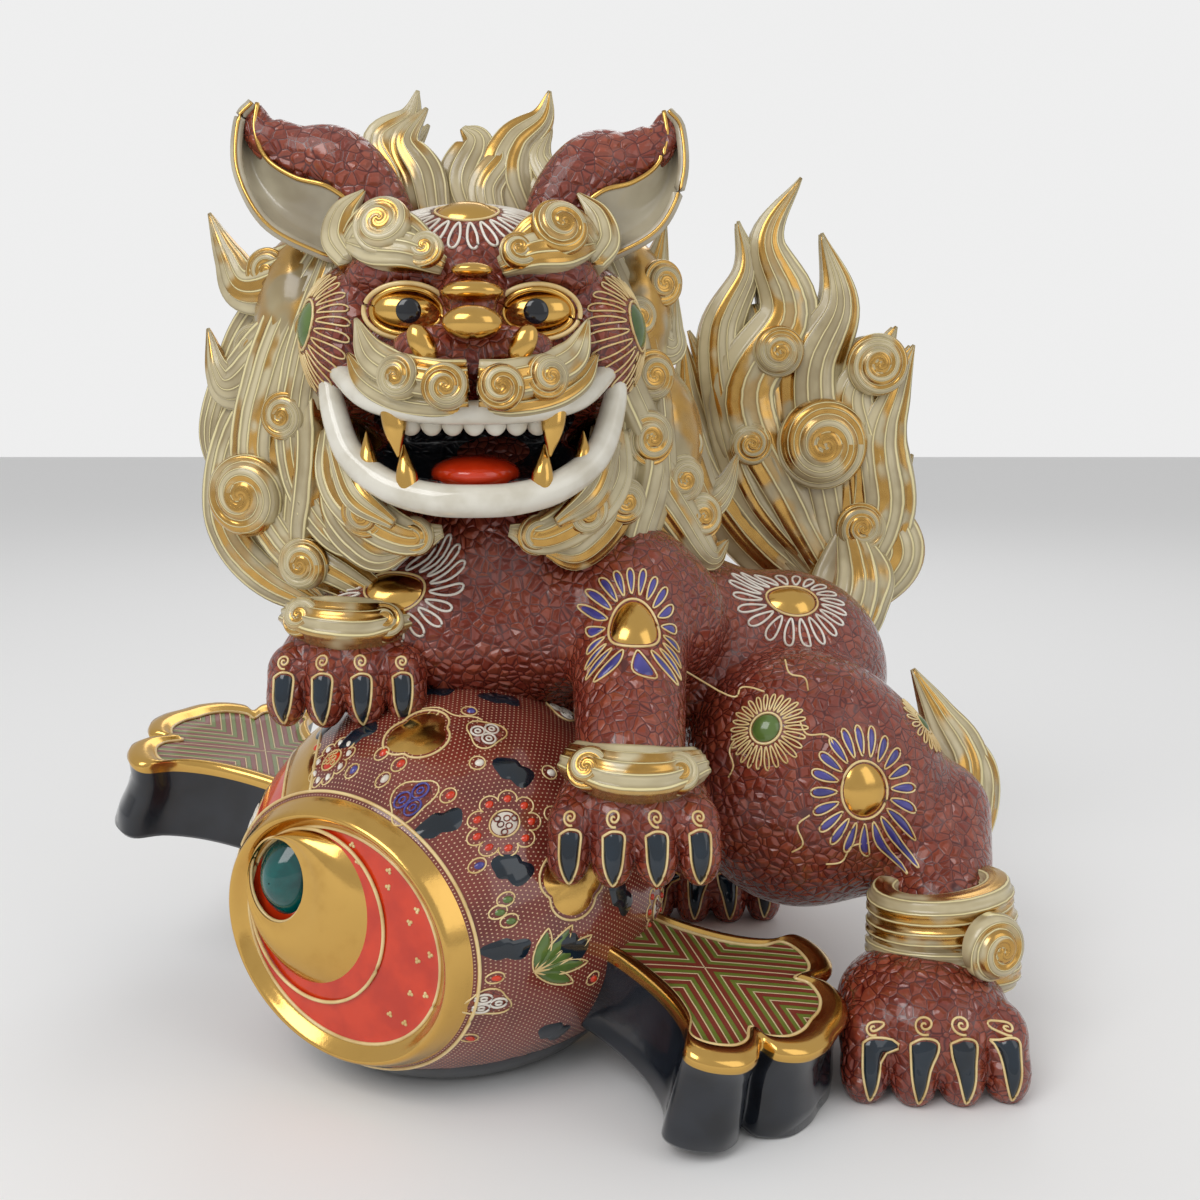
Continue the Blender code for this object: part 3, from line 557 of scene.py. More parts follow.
def tube(clay, path, radius, slot=0, sides=8, closed=False, uv_scale=1.0):
    """Round bead along a path, with pinched ends when it is open."""
    path = np.asarray(path, float)
    radius = np.broadcast_to(np.asarray(radius, float), len(path)).copy()
    if closed:
        ahead = unit(np.roll(path, -1, 0) - np.roll(path, 1, 0))
    else:
        ahead = unit(np.gradient(path, axis=0))
    guide = np.where(np.abs(ahead[:, 2:]) < 0.9, [[0, 0, 1.0]], [[1.0, 0, 0]])
    side = unit(np.cross(ahead, guide))
    up = np.cross(side, ahead)
    t = np.linspace(0, 2 * np.pi, sides + 1)
    ring = path[:, None] + radius[:, None, None] * (np.cos(t)[None, :, None] * side[:, None]
                                                    + np.sin(t)[None, :, None] * up[:, None])
    if closed:
        ring = np.concatenate([ring, ring[:1]])
    else:
        ring = np.concatenate([np.broadcast_to(path[:1, None], ring[:1].shape), ring,
                               np.broadcast_to(path[-1:, None], ring[:1].shape)])
    rows = len(ring)
    uv = np.stack(np.broadcast_arrays(t[None, :], np.linspace(0, uv_scale, rows)[:, None]), -1)
    clay.grid(ring, uv, slot)


class Sheet:
    """A place to decorate: local millimetres (x across, y up) laid on a form."""

    def __init__(self, field, centre, facing, up=(0, 0, 1)):
        self.field = field
        self.centre = np.asarray(centre, float)
        facing = unit(facing)
        self.right = unit(np.cross(up, facing))
        self.up = np.cross(facing, self.right)

    def at(self, x, y, height=0.0):
        spot = self.centre + np.asarray(x)[..., None] * self.right + np.asarray(y)[..., None] * self.up
        on, out = seat(self.field, spot)
        return on + out * np.asarray(height)[..., None] if np.ndim(height) else on + out * height


class DrumSheet:
    """The same on the drum's skin: x runs round it, y along its axis towards the front."""

    def __init__(self, angle, along, turn=0.0):
        self.angle, self.along, self.turn = angle, along, turn

    def at(self, x, y, height=0.0):
        x, y = np.asarray(x, float), np.asarray(y, float)
        c, s = math.cos(self.turn), math.sin(self.turn)
        return drum_skin(self.angle + (c * x - s * y) / 90.0, self.along + s * x + c * y, height)


def drum_skin(angle, along, height=0.0):
    """Point on the drum: half sizes bulge as 1 - (along / half length)^2; angle 0 is right, 90 up.

    along counts towards the front."""
    angle, along = np.broadcast_arrays(np.asarray(angle, float), np.asarray(along, float))
    bulge = 1 - (along / DRUM_LONG) ** 2
    wide = DISC_WIDE + (DRUM_WIDE - DISC_WIDE) * bulge + height
    high = DISC_HIGH + (DRUM_HIGH - DISC_HIGH) * bulge + height
    return from_drum(np.stack([wide * np.cos(angle), -along, high * np.sin(angle)], -1))


def raised(clay, sheet, outline, height, slot, rings=7, dome=3.0, sink=0.5):
    """Raised shape: points t * outline, lifted by height * (1 - t^dome), its rim let into the form."""
    t = np.linspace(0, 1, rings)[:, None]
    x, y = outline[:, 0][None] * t, outline[:, 1][None] * t
    middle = outline.mean(0)
    x = middle[0] + (outline[:, 0] - middle[0])[None] * t
    y = middle[1] + (outline[:, 1] - middle[1])[None] * t
    lift = height * (1 - t ** dome) - sink * t ** 6 + 0 * x
    clay.grid(sheet.at(x, y, lift), np.stack([x, y], -1), slot)


def bead(clay, sheet, line, radius, slot, closed=True, lift=0.0):
    """Thin raised line laid on a form."""
    line = np.asarray(line, float)
    tube(clay, sheet.at(line[:, 0], line[:, 1], lift), radius, slot, sides=6, closed=closed)


def loop(samples, radius):
    """Closed outline from a radius given as a function of the angle."""
    t = np.linspace(0, 2 * np.pi, samples + 1)
    r = radius(t)
    return np.stack([r * np.cos(t), r * np.sin(t)], -1)


def oval(wide, high, samples=36, at=(0, 0), turn=0.0):
    t = np.linspace(0, 2 * np.pi, samples + 1)
    x, y = wide * np.cos(t), high * np.sin(t)
    c, s = math.cos(turn), math.sin(turn)
    return np.stack([at[0] + c * x - s * y, at[1] + s * x + c * y], -1)


def petal(turn, inner, outer, wide, samples=22):
    """Long petal between two radii, blunt outside and narrow inside."""
    t = np.linspace(0, 2 * np.pi, samples + 1)
    along = (inner + outer) / 2 + (outer - inner) / 2 * np.cos(t)
    across = wide * np.sin(t) * (0.72 + 0.28 * np.cos(t))
    c, s = math.cos(turn), math.sin(turn)
    return np.stack([c * along - s * across, s * along + c * across], -1)


def spiral_line(radius, turns, samples=40, start=0.0, hand=1):
    t = np.linspace(0.04, 1, samples)
    angle = start + hand * t * turns * 2 * np.pi
    return np.stack([radius * t * np.cos(angle), radius * t * np.sin(angle)], -1)


# slots inside a decorated piece, in this order
ENAMELS = ["line", "blue", "petal", "green", "night", "gold", "red", "teal", "white", "hair", "skin"]
PALETTE = [EXTRA["line"], EXTRA["blue"], EXTRA["petal"], EXTRA["green"], EXTRA["night"], GOLD_LUSTRE, RED, TEAL,
           WHITE, HAIR, SKIN_GLAZE]


def ink(name):
    return ENAMELS.index(name)


def paint_flower(clay, sheet, radius, core, count, tint, outlined=True, core_ink="gold", squash=1.0):
    """Chrysanthemum: a domed centre in a ring of long petals with raised outlines."""
    rng = np.random.default_rng(int(radius * 10 + count))
    for k in range(count):
        angle = 2 * math.pi * k / count
        reach = radius * (0.97 + 0.05 * rng.random())
        shape = petal(angle, core * 1.22, reach, math.pi * (core + radius) / 2 / count * 0.86)
        shape[:, 1] *= squash
        if tint:
            raised(clay, sheet, shape, 0.55, ink(tint), rings=4)
        bead(clay, sheet, shape, 0.42 if outlined else 0.62, ink("line" if outlined else "petal"), lift=0.25)
    rim = oval(core, core * squash)
    raised(clay, sheet, rim, core * 0.22, ink(core_ink), rings=9, dome=2.2)
    bead(clay, sheet, rim * 1.04, 0.6, ink("line"), lift=0.2)


# ---- the lion's body -----------------------------------------------------------------------
NEAR_PAW, FAR_PAW = np.array([157.0, -76.0, 0.0]), np.array([78.0, 114.0, 0.0])


def drum_stand(across, up, back, stand):
    """A point that stands off the drum's skin in the given direction."""
    bulge = 1 - (back / DRUM_LONG) ** 2
    wide = DISC_WIDE + (DRUM_WIDE - DISC_WIDE) * bulge
    high = DISC_HIGH + (DRUM_HIGH - DISC_HIGH) * bulge
    length = math.hypot(across, up)
    reach = length / math.hypot(across / wide, up / high) + stand
    return from_drum([across / length * reach, back, up / length * reach])


FORE_RIGHT, FORE_LEFT = drum_stand(90, 74, -20, 22), drum_stand(-66, 100, -32, 20)
CHEST_TURN, RUMP_TURN = turn_z(math.radians(15)), turn_z(math.radians(20))


def body_field(p):
    parts = [
        egg(p, (-18, 20, 190), (74, 54, 58), CHEST_TURN), egg(p, (45, 36, 170), (66, 46, 48), CHEST_TURN),
        egg(p, (108, 52, 150), (58, 50, 55), RUMP_TURN), egg(p, (-30, 16, 238), (50, 44, 44)),
        egg(p, (-28, -18, 226), (26, 22, 24)), egg(p, (-2, -22, 190), (34, 22, 30)),
        egg(p, (-58, -18, 186), (34, 24, 30)),
        egg(p, (112, -8, 112), (58, 46, 62)), egg(p, (144, -6, 104), (38, 36, 46)),
        egg(p, (84, 104, 112), (46, 44, 60)), egg(p, (112, 108, 100), (36, 34, 42)),
        limb(p, (178, -2, 92), (172, -40, 62), 27, 24), limb(p, (104, 150, 90), (92, 138, 62), 25, 23),
    ]
    return melt(parts, 4.5)


def arm_field(p):
    right = melt([egg(p, (26, -6, 198), (38, 36, 38)), limb(p, (28, -24, 190), FORE_RIGHT + [-1, 10, 22], 27, 23),
                  egg(p, (44, -6, 190), (30, 26, 30))], 4.0)
    left = melt([egg(p, (-80, 0, 192), (38, 35, 33)), limb(p, (-86, -10, 190), FORE_LEFT + [6, 10, 12], 27, 23)], 4.0)
    return np.minimum(right, left)


def skin_field(p):
    return melt([body_field(p), arm_field(p)], 3.5)


def paw_field(p, centre, wide, long, high, toes, drop):
    """Paw with four plump toes; the creases between them stay sharp."""
    parts = [egg(p, centre + [0, 4, 2], (wide, long - 4, high))]
    for k in (-1.5, -0.5, 0.5, 1.5):
        bow = abs(k) * 2.5
        toe = melt([egg(p, centre + [k * wide * 0.52, -long * 0.48 + bow, drop + 4], (toes, toes * 1.25, toes * 1.2)),
                    egg(p, centre + [k * wide * 0.54, -long * 0.62 + bow, drop - toes * 0.9],
                        (toes * 0.92, toes * 1.05, toes * 1.25))], 2.0)
        parts.append(toe)
    body = melt(parts[:1], 1.0)
    toes_only = np.min(np.stack(parts[1:]), 0)
    return melt([body, toes_only], 1.8)


def hind_paw_field(centre):
    def field(p):
        return np.maximum(paw_field(p, centre + [0, 0, 25], 37, 42, 27, 11.0, -4), 0.4 - p[:, 2])
    return field


def fore_paw_field(centre):
    return lambda p: paw_field(p, centre, 33, 28, 24, 9.5, -4)


def net_piece(clay, field, low, high, step, slot=0, gilt_and_painted_shade=None, uv=None):
    points, quads = surface_net(field, low, high, step)
    points, _ = seat(field, points, 3)
    clay.mesh(points, quads, np.zeros((len(points), 2)) if uv is None else uv(points), slot,
              None if gilt_and_painted_shade is None else gilt_and_painted_shade(points))


def make_body():
    clay = Clay()
    net_piece(clay, skin_field, (-135, -125, 30), (215, 190, 290), 2.1)
    clay.build("lion_body", [SKIN_GLAZE], ["torso", "hind_thigh_left", "hind_thigh_right", "hind_shin_left",
                                           "hind_shin_right", "foreleg_left", "foreleg_right"])


def claw(clay, field, spot, size):
    """Painted claw: a dark pointed shield with a gold line round it."""
    sheet = Sheet(field, spot, (0, -1, 0.12))
    shape = path_through([(-0.46, 0.9), (0, 1.08), (0.46, 0.9), (0.40, 0.1), (0.2, -0.7), (0, -1.15), (-0.2, -0.7),
                          (-0.40, 0.1), (-0.46, 0.9)], 41) * size
    raised(clay, sheet, shape, 1.3, ink("night"), rings=7)
    bead(clay, sheet, shape, 0.55, ink("line"), lift=0.35)


def make_paw(name, field, centre, reach, toes_at, claw_size, scroll, stands_for, step=1.5):
    clay = Clay()
    net_piece(clay, field, centre - reach, centre + reach, step, ink("skin"))
    for x, y, z in toes_at:
        claw(clay, field, centre + [x, y, z], claw_size)
        sheet = Sheet(field, centre + [x, y, z + claw_size + scroll * 1.6], (0, -1, 0.75))
        bead(clay, sheet, spiral_line(scroll, 1.8), 0.55, ink("line"), closed=False, lift=0.1)
    clay.build(name, PALETTE, stands_for)


def make_paws():
    for side, paw in (("right", NEAR_PAW), ("left", FAR_PAW)):
        toes = [(k * 19.5, -44 + abs(k) * 2.5, 17) for k in (-1.5, -0.5, 0.5, 1.5)]
        make_paw(f"hind_paw_{side}_fine", hind_paw_field(paw), paw + [0, 0, 30], np.array([52, 60, 34]),
                 [(x, y, z - 30) for x, y, z in toes], 16.0, 6.6, [f"hind_paw_{side}"])
    for side, paw in (("right", FORE_RIGHT), ("left", FORE_LEFT)):
        toes = [(k * 17.5, -30 + abs(k) * 2.5, -12) for k in (-1.5, -0.5, 0.5, 1.5)]
        make_paw(f"forepaw_{side}_fine", fore_paw_field(paw), paw, np.array([48, 46, 40]), toes, 13.5, 5.6,
                 [f"forepaw_{side}"])


def make_flowers():
    clay = Clay()
    places = [
        ((-78, -40, 212), (-0.3, -1, 0.15), 31, 13.5, 18, None, False, "gold", 0.9),
        ((30, -60, 199), (0.1, -1, 0.15), 31, 13.0, 20, "blue", True, "gold", 1.1),
        ((112, 18, 200), (0.2, -0.8, 0.6), 33, 13.0, 20, None, False, "gold", 0.85),
        ((82, -60, 156), (-0.15, -1, 0.25), 25, 9.5, 26, None, True, "green", 1.0),
        ((137, -64, 121), (0.25, -1, 0.1), 31, 12.5, 20, "blue", True, "gold", 1.2),
        ((174, -16, 146), (0.7, -0.6, 0.4), 17, 6.0, 20, None, True, "green", 1.0),
        ((60, 95, 185), (-0.1, 1, 0.4), 30, 12.0, 20, None, False, "gold", 1.0),
        ((84, 150, 120), (-0.1, 1, 0.1), 30, 12.0, 20, "blue", True, "gold", 1.0),
        ((-60, 90, 190), (-0.5, 1, 0.2), 28, 11.0, 20, "blue", True, "gold", 1.0),
    ]
    for centre, facing, radius, core, count, tint, outlined, core_ink, squash in places:
        form = body_field if centre[0] > 70 else skin_field
        paint_flower(clay, Sheet(form, centre, facing), radius, core, count, tint, outlined, core_ink, squash)
    wave = np.linspace(-12, 12, 30)
    for x, z, turn in ((66, 182, 0.4), (104, 98, 1.3), (112, 150, -0.6), (60, 138, 1.5), (128, 86, 0.7), (100, 196, 2.4)):
        c, s = math.cos(turn), math.sin(turn)
        bend = 2.6 * np.sin(wave / 3.2)
        bead(clay, Sheet(body_field, (x, -60, z), (0.1, -1, 0.2)), np.stack([c * wave - s * bend, s * wave + c * bend], -1),
             0.45, ink("line"), closed=False)
    clay.build("body_flowers", PALETTE, [])


# ---- hair on the legs and the tail ---------------------------------------------------------------
def make_cuffs():
    for side, paw, flip in (("right", NEAR_PAW, 1), ("left", FAR_PAW, 1)):
        clay = Clay()
        x, y, _ = paw
        a = np.radians(np.linspace(80, 440, 34))
        around = np.stack([np.cos(a), np.sin(a), 0 * a], -1)
        for k, (z, wide, deep) in enumerate(((71, 25, 20), (60, 26, 21), (49, 27, 21), (39, 27, 20))):
            ring = np.array([x + 11 + k, y + 22, z]) + around * [wide, deep, 0]
            ring[:, 2] += 3.5 * np.cos(a + 0.6 * k)
            lock(clay, ring, [8, 9.5, 9.5, 8], around, 0.85, 4, start_strand=k * 5)
        curl(clay, np.array([x + 26, y - 6, 60.0]), (0.45, -1, 0.1), 15, 0.6, 1.9, -1)
        clay.build(f"ankle_cuff_{side}_fine", [HAIR], [f"ankle_cuff_{side}"])
        clay = Clay()
        back = 1.0 if side == "right" else 0.5
        sx, sy = x + 24 * back, y + 78 * back + 6
        lock(clay, [(sx + 2, sy + 6, 60), (sx + 12, sy + 14, 84), (sx + 16, sy + 20, 112), (sx + 6, sy + 26, 134),
                    (sx - 6, sy + 30, 156)], [12, 19, 17, 10, 1.5], (0.35, -1, 0), 0.7, 5)
        lock(clay, [(sx + 8, sy + 6, 60), (sx + 22, sy + 14, 80), (sx + 26, sy + 20, 106), (sx + 16, sy + 26, 130)],
             [10, 14, 12, 2], (0.5, -1, 0), 0.7, 4, start_strand=7)
        lock(clay, [(sx - 8, sy + 2, 74), (sx - 4, sy + 8, 98), (sx - 8, sy + 16, 118), (sx - 2, sy + 22, 132)],
             [9, 12, 9, 1.5], (0.2, -1, 0), 0.7, 4, start_strand=13)
        curl(clay, np.array([sx + 2, sy - 8, 104.0]), (0.25, -1, 0.15), 11, 0.6, 1.8, 1)
        clay.build(f"hock_tuft_{side}_fine", [HAIR], [f"hock_tuft_{side}"])
    for side, paw, s in (("right", FORE_RIGHT, 1), ("left", FORE_LEFT, -1)):
        clay = Clay()
        x, y, z = paw
        lock(clay, [(x - 26, y + 2, z + 24), (x - 10, y - 13, z + 23), (x + 10, y - 13, z + 22), (x + 27, y + 2, z + 22)],
             [9, 12.5, 12.5, 8], (0, -0.75, 0.66), 0.75, 5)
        curl(clay, np.array([x - 18, y - 12, z + 24.0]), (-0.3, -1, 0.5), 9.5, 0.7, 1.7, 1)
        curl(clay, np.array([x + 17, y - 12, z + 22.0]), (0.3, -1, 0.5), 9.0, 0.7, 1.7, -1)
        clay.build(f"wrist_tuft_{side}_fine", [HAIR], [f"wrist_tuft_{side}"])


TAIL_LOCKS = [
    ([(150, 180), (112, 206), (80, 246), (66, 286), (61, 326)], [13, 20, 21, 14, 1]),
    ([(156, 176), (180, 204), (176, 232), (190, 262)], [14, 20, 14, 1]),
    ([(158, 190), (172, 230), (168, 270), (176, 296), (188, 322)], [16, 22, 20, 13, 1]),
    ([(150, 186), (126, 230), (110, 270), (104, 310), (98, 344)], [16, 24, 26, 20, 4]),
    ([(150, 186), (122, 236), (96, 292), (118, 338), (106, 378), (124, 411)], [16, 24, 26, 20, 11, 1]),
    ([(146, 190), (104, 240), (86, 292), (82, 330), (95, 362), (90, 388)], [12, 18, 17, 14, 8, 1]),
    ([(118, 232), (92, 270), (78, 300), (64, 330)], [13, 15, 9, 1]),
    ([(154, 190), (140, 250), (132, 306), (146, 344), (136, 382)], [16, 22, 22, 13, 1]),
    ([(158, 196), (166, 250), (156, 292), (168, 312), (178, 332)], [16, 20, 17, 10, 1]),
    ([(158, 180), (172, 208), (170, 234), (179, 260)], [14, 16, 11, 1]),
    ([(160, 178), (150, 222), (134, 262), (124, 300), (140, 330)], [13, 16, 17, 14, 2]),
    ([(150, 182), (118, 222), (112, 262), (98, 300)], [12, 14, 13, 2]),
]


def make_tail():
    clay = Clay()
    for k, (places, widths) in enumerate(TAIL_LOCKS):
        for y, facing in ((117, (0.1, -1, 0)), (123, (-0.1, 1, 0))):
            path = [(x, y + (2 - 2 * (k % 3)) * (1 if y < 120 else -1), z) for x, z in places]
            lock(clay, path, widths, facing, 0.55, 6, start_strand=7 * k, samples=44)
    for x, z, radius, hand in ((137, 268, 25, 1), (166, 311, 17, -1), (160, 222, 14, -1), (112, 318, 14, 1), (98, 268, 12, -1)):
        curl(clay, np.array([x, 106.0, z]), (0.05, -1, 0), radius, 0.42, 2.6, hand)
        curl(clay, np.array([x, 134.0, z]), (0, 1, 0), radius, 0.42, 2.6, hand)
    clay.build("tail_flame_fine", [HAIR], ["tail_flame"])
    clay = Clay()
    for k, (dx, dy) in enumerate(((0, -12), (-12, 2), (12, 0), (0, 12))):
        lock(clay, [(140 + dx, 88 + dy, 158), (150 + dx, 98 + dy, 176), (156 + dx, 108 + dy, 196), (154, 114, 222)],
             [13, 15, 14, 8], (dx + 0.1, dy + 0.1, 0.3), 0.8, 4, start_strand=5 * k)
    clay.build("tail_root_fine", [HAIR], ["tail_root"])


# ---- the mallet --------------------------------------------------------------------------------
def make_drum():
    clay = Clay()
    angle = np.linspace(0, 2 * np.pi, 241)[:, None]
    along = np.linspace(-DRUM_LONG, DRUM_LONG, 97)[None, :]
    skin = drum_skin(angle, along)
    skin[..., 2] = np.maximum(skin[..., 2], 4.0)
    uv = np.stack(np.broadcast_arrays(angle * 92, along), -1)
    clay.grid(skin, uv, 0)
    for end in (0, -1):
        edge = skin[:, end]
        middle = np.broadcast_to(edge.mean(0), edge.shape)
        clay.grid(np.stack([edge, middle]), np.zeros((2, len(edge), 2)), 0)
    clay.build("drum_body", [DRUM_GLAZE], ["mallet_drum"])
    clay = Clay()
    count = 161
    angle = np.linspace(0, 2 * np.pi, 721)
    rows = []
    for top, grow in ((0.35, -3.0), (0.35, 0.2), (4.0, 1.2), (10.0, 1.0), (15.0, 0.5), (17.5, -0.6)):
        ring = []
        t = np.linspace(0, 2 * np.pi, count)
        reach = np.linspace(5, 100, 300)
        for a in t:
            c, s = math.cos(a), math.sin(a)
            flat = np.stack([reach * c, reach * s], -1)
            ring.append(flat)
        grid = np.stack(ring)
        local = np.concatenate([grid, np.full(grid.shape[:2] + (1,), top - DRUM_CENTRE[2])], -1)
        inside = local @ DRUM_TURN
        bulge = 1 - (inside[..., 1] / DRUM_LONG) ** 2
        wide = DISC_WIDE + (DRUM_WIDE - DISC_WIDE) * bulge
        high = DISC_HIGH + (DRUM_HIGH - DISC_HIGH) * bulge
        depth = (inside[..., 0] / wide) ** 2 + (inside[..., 2] / high) ** 2
        ok = (depth < 1) & (np.abs(inside[..., 1]) < DRUM_LONG)
        edge = np.where(ok, reach[None, :], 0).max(1)
        edge = np.maximum(edge, 40.0) + grow
        rows.append(np.stack([edge * np.cos(t), edge * np.sin(t), np.full(count, top)], -1)
                    + [DRUM_CENTRE[0], DRUM_CENTRE[1], 0])
    rows = np.stack([np.broadcast_to(rows[0].mean(0), rows[0].shape)] + rows
                    + [np.broadcast_to(rows[-1].mean(0), rows[0].shape)])
    clay.grid(rows, rows[..., :2] * 0.1, 0)
    clay.build("drum_foot_fine", [BLACK], ["mallet_foot"])


def disc_skin(rho, theta, side):
    """Moulded end of the drum: flat bed, raised rim at rho 0.9, height by smooth steps."""
    rim = np.exp(-((rho - 0.91) / 0.075) ** 2) * 6.5
    bed = 3.2 * (1 - smooth_step(rho, 0.9, 1.0)) + 1.5 * (1 - rho ** 2)
    out = side * (DRUM_LONG + rim * 0.9 + bed - 2.2 * smooth_step(rho, 0.97, 1.02))
    x, z = DISC_WIDE * rho * np.cos(theta), DISC_HIGH * rho * np.sin(theta)
    return from_drum(np.stack(np.broadcast_arrays(x, out, z), -1))


def crescent_bowl(clay, side):
    """Gold bowl set off-centre in the orange bed, with the teal boss set off-centre in the bowl."""
    t = np.linspace(0, 2 * np.pi, 97)
    bowl_at, bowl_size = np.array([-14.0, 3.0]), np.array([36.0, 38.0])
    gem_at, gem_size = np.array([-34.0, 12.0]), np.array([15.0, 19.0])
    for k, (spot, size, inner_spot, inner, base, rise, slot) in enumerate((
            (bowl_at, bowl_size, gem_at, gem_size, 4.0, 6.0, ink("gold")),
            (gem_at, gem_size, gem_at, gem_size * 0.02, 7.0, 6.5, ink("teal")))):
        s = np.linspace(0, 1, 25)[:, None]
        centre = spot + (inner_spot - spot) * s[..., None]
        spread_out = size + (inner - size) * s[..., None]
        x = centre[..., 0] + spread_out[..., 0] * np.cos(t)
        z = centre[..., 1] + spread_out[..., 1] * np.sin(t)
        lift = base - 4.5 + (4.5 + rise) * np.sin(np.minimum(s * (2.2 if k == 0 else 1.57), 1.9)) + 0 * x
        clay.grid(from_drum(np.stack([x, side * (DRUM_LONG + lift), z], -1)), np.stack([x, z], -1) * 0.1, slot)
        edge = np.stack([spot[0] + size[0] * np.cos(t[:-1]), np.full(96, side * (DRUM_LONG + base + 1.2)),
                         spot[1] + size[1] * np.sin(t[:-1])], -1)
        tube(clay, from_drum(edge), 0.8, ink("line"), 6, closed=True)


def make_discs():
    theta = np.linspace(0, 2 * np.pi, 161)[None, :]
    for name, side, stands in (("disc_front_fine", -1, ["mallet_front_disc", "front_gem"]),
                               ("disc_back_fine", 1, ["mallet_back_disc", "back_gem"])):
        clay = Clay()
        for low, high, slot in ((0.0, 0.80, ink("red")), (0.80, 1.03, ink("gold"))):
            rho = np.linspace(low, high, 30)[:, None]
            clay.grid(disc_skin(rho, theta, side), np.stack(np.broadcast_arrays(rho, theta), -1), slot)
        for rho in (0.80, 1.03):
            tube(clay, disc_skin(np.full(160, rho), theta[0, :-1], side), 0.8, ink("line"), 6, closed=True)
        crescent_bowl(clay, side)
        for a in np.linspace(-1.3, 1.35, 7):
            for rho in (0.62, 0.72):
                for k in range(3):
                    spot = disc_skin(rho + 0.012 * math.cos(2.1 * k), a + 0.02 * math.sin(2.1 * k) + rho, side)
                    curl_dot(clay, spot, side)
        clay.build(name, PALETTE, stands)


def curl_dot(clay, spot, side, radius=0.8):
    """A drop of raised enamel."""
    a = np.linspace(0, np.pi, 7)[:, None]
    t = np.linspace(0, 2 * np.pi, 9)[None, :]
    local = np.stack(np.broadcast_arrays(np.sin(a) * np.cos(t), np.cos(a) * 0.7, np.sin(a) * np.sin(t)), -1)
    clay.grid(spot + (local * radius) @ DRUM_TURN.T, np.zeros(local.shape[:2] + (2,)), ink("line"))


def wing_edge():
    """Half outline of the beam's end in plan: waist, side lobe, notch and middle lobe, as arcs."""
    points = [(70, 22), (98, 24), (124, 33), (141, 46), (148, 60), (158, 60), (168, 52), (171, 42), (168, 31), (176, 32),
              (185, 24), (189, 12), (189, 0)]
    half = path_through(points, 70)
    return np.vstack([half, (half * [1, -1])[::-1][1:]])


def make_wings():
    edge = wing_edge()
    for name, side, stands in (("wing_right_fine", 1, "mallet_wing_right"), ("wing_left_fine", -1, "mallet_wing_left")):
        clay = Clay()
        middle = np.array([128.0, 0.0])

        def ring(inset, height):
            flat = middle + (edge - middle) * (1 - inset)
            spot = np.stack([side * flat[:, 0], -flat[:, 1], np.full(len(flat), height - 9.0)], -1)
            placed = from_drum(spot)
            placed[:, 2] = np.maximum(placed[:, 2], 0.4)
            return placed, flat

        def band(levels, slot):
            rows, flats = zip(*[ring(*level) for level in levels])
            rows, flats = np.stack(rows), np.stack(flats)
            rows = np.concatenate([rows, rows[:, :1]], 1)
            flats = np.concatenate([flats, flats[:, :1]], 1)
            clay.grid(rows, flats - middle, slot)

        band([(0.99, -19.5), (0.5, -19.5), (-0.02, -19.5), (-0.045, -17.5), (-0.025, -9), (0.015, 0), (0.03, 8),
              (0.0, 15.5)], 0)
        band([(0.0, 15.5), (-0.015, 17.5), (0.0, 20.0), (0.05, 21.5), (0.14, 21.5), (0.19, 19.0)], 1)
        band([(0.19, 19.0), (0.35, 19.3), (0.6, 19.5), (0.8, 19.6), (0.995, 19.6)], 2)
        path, _ = ring(0.185, 19.6)
        tube(clay, path[2:-2], 0.8, 3, 6)
        clay.build(name, [BLACK, GOLD_LUSTRE, STRIPES, EXTRA["line"]], [stands])


def leaf(length, wide, turn, at):
    t = np.linspace(0, 2 * np.pi, 25)
    along = (1 - np.cos(t)) / 2
    x = length * along
    y = wide * np.sin(t) * np.sin(np.pi * along) ** 0.3
    c, s = math.cos(turn), math.sin(turn)
    return np.stack([at[0] + c * x - s * y, at[1] + s * x + c * y], -1)


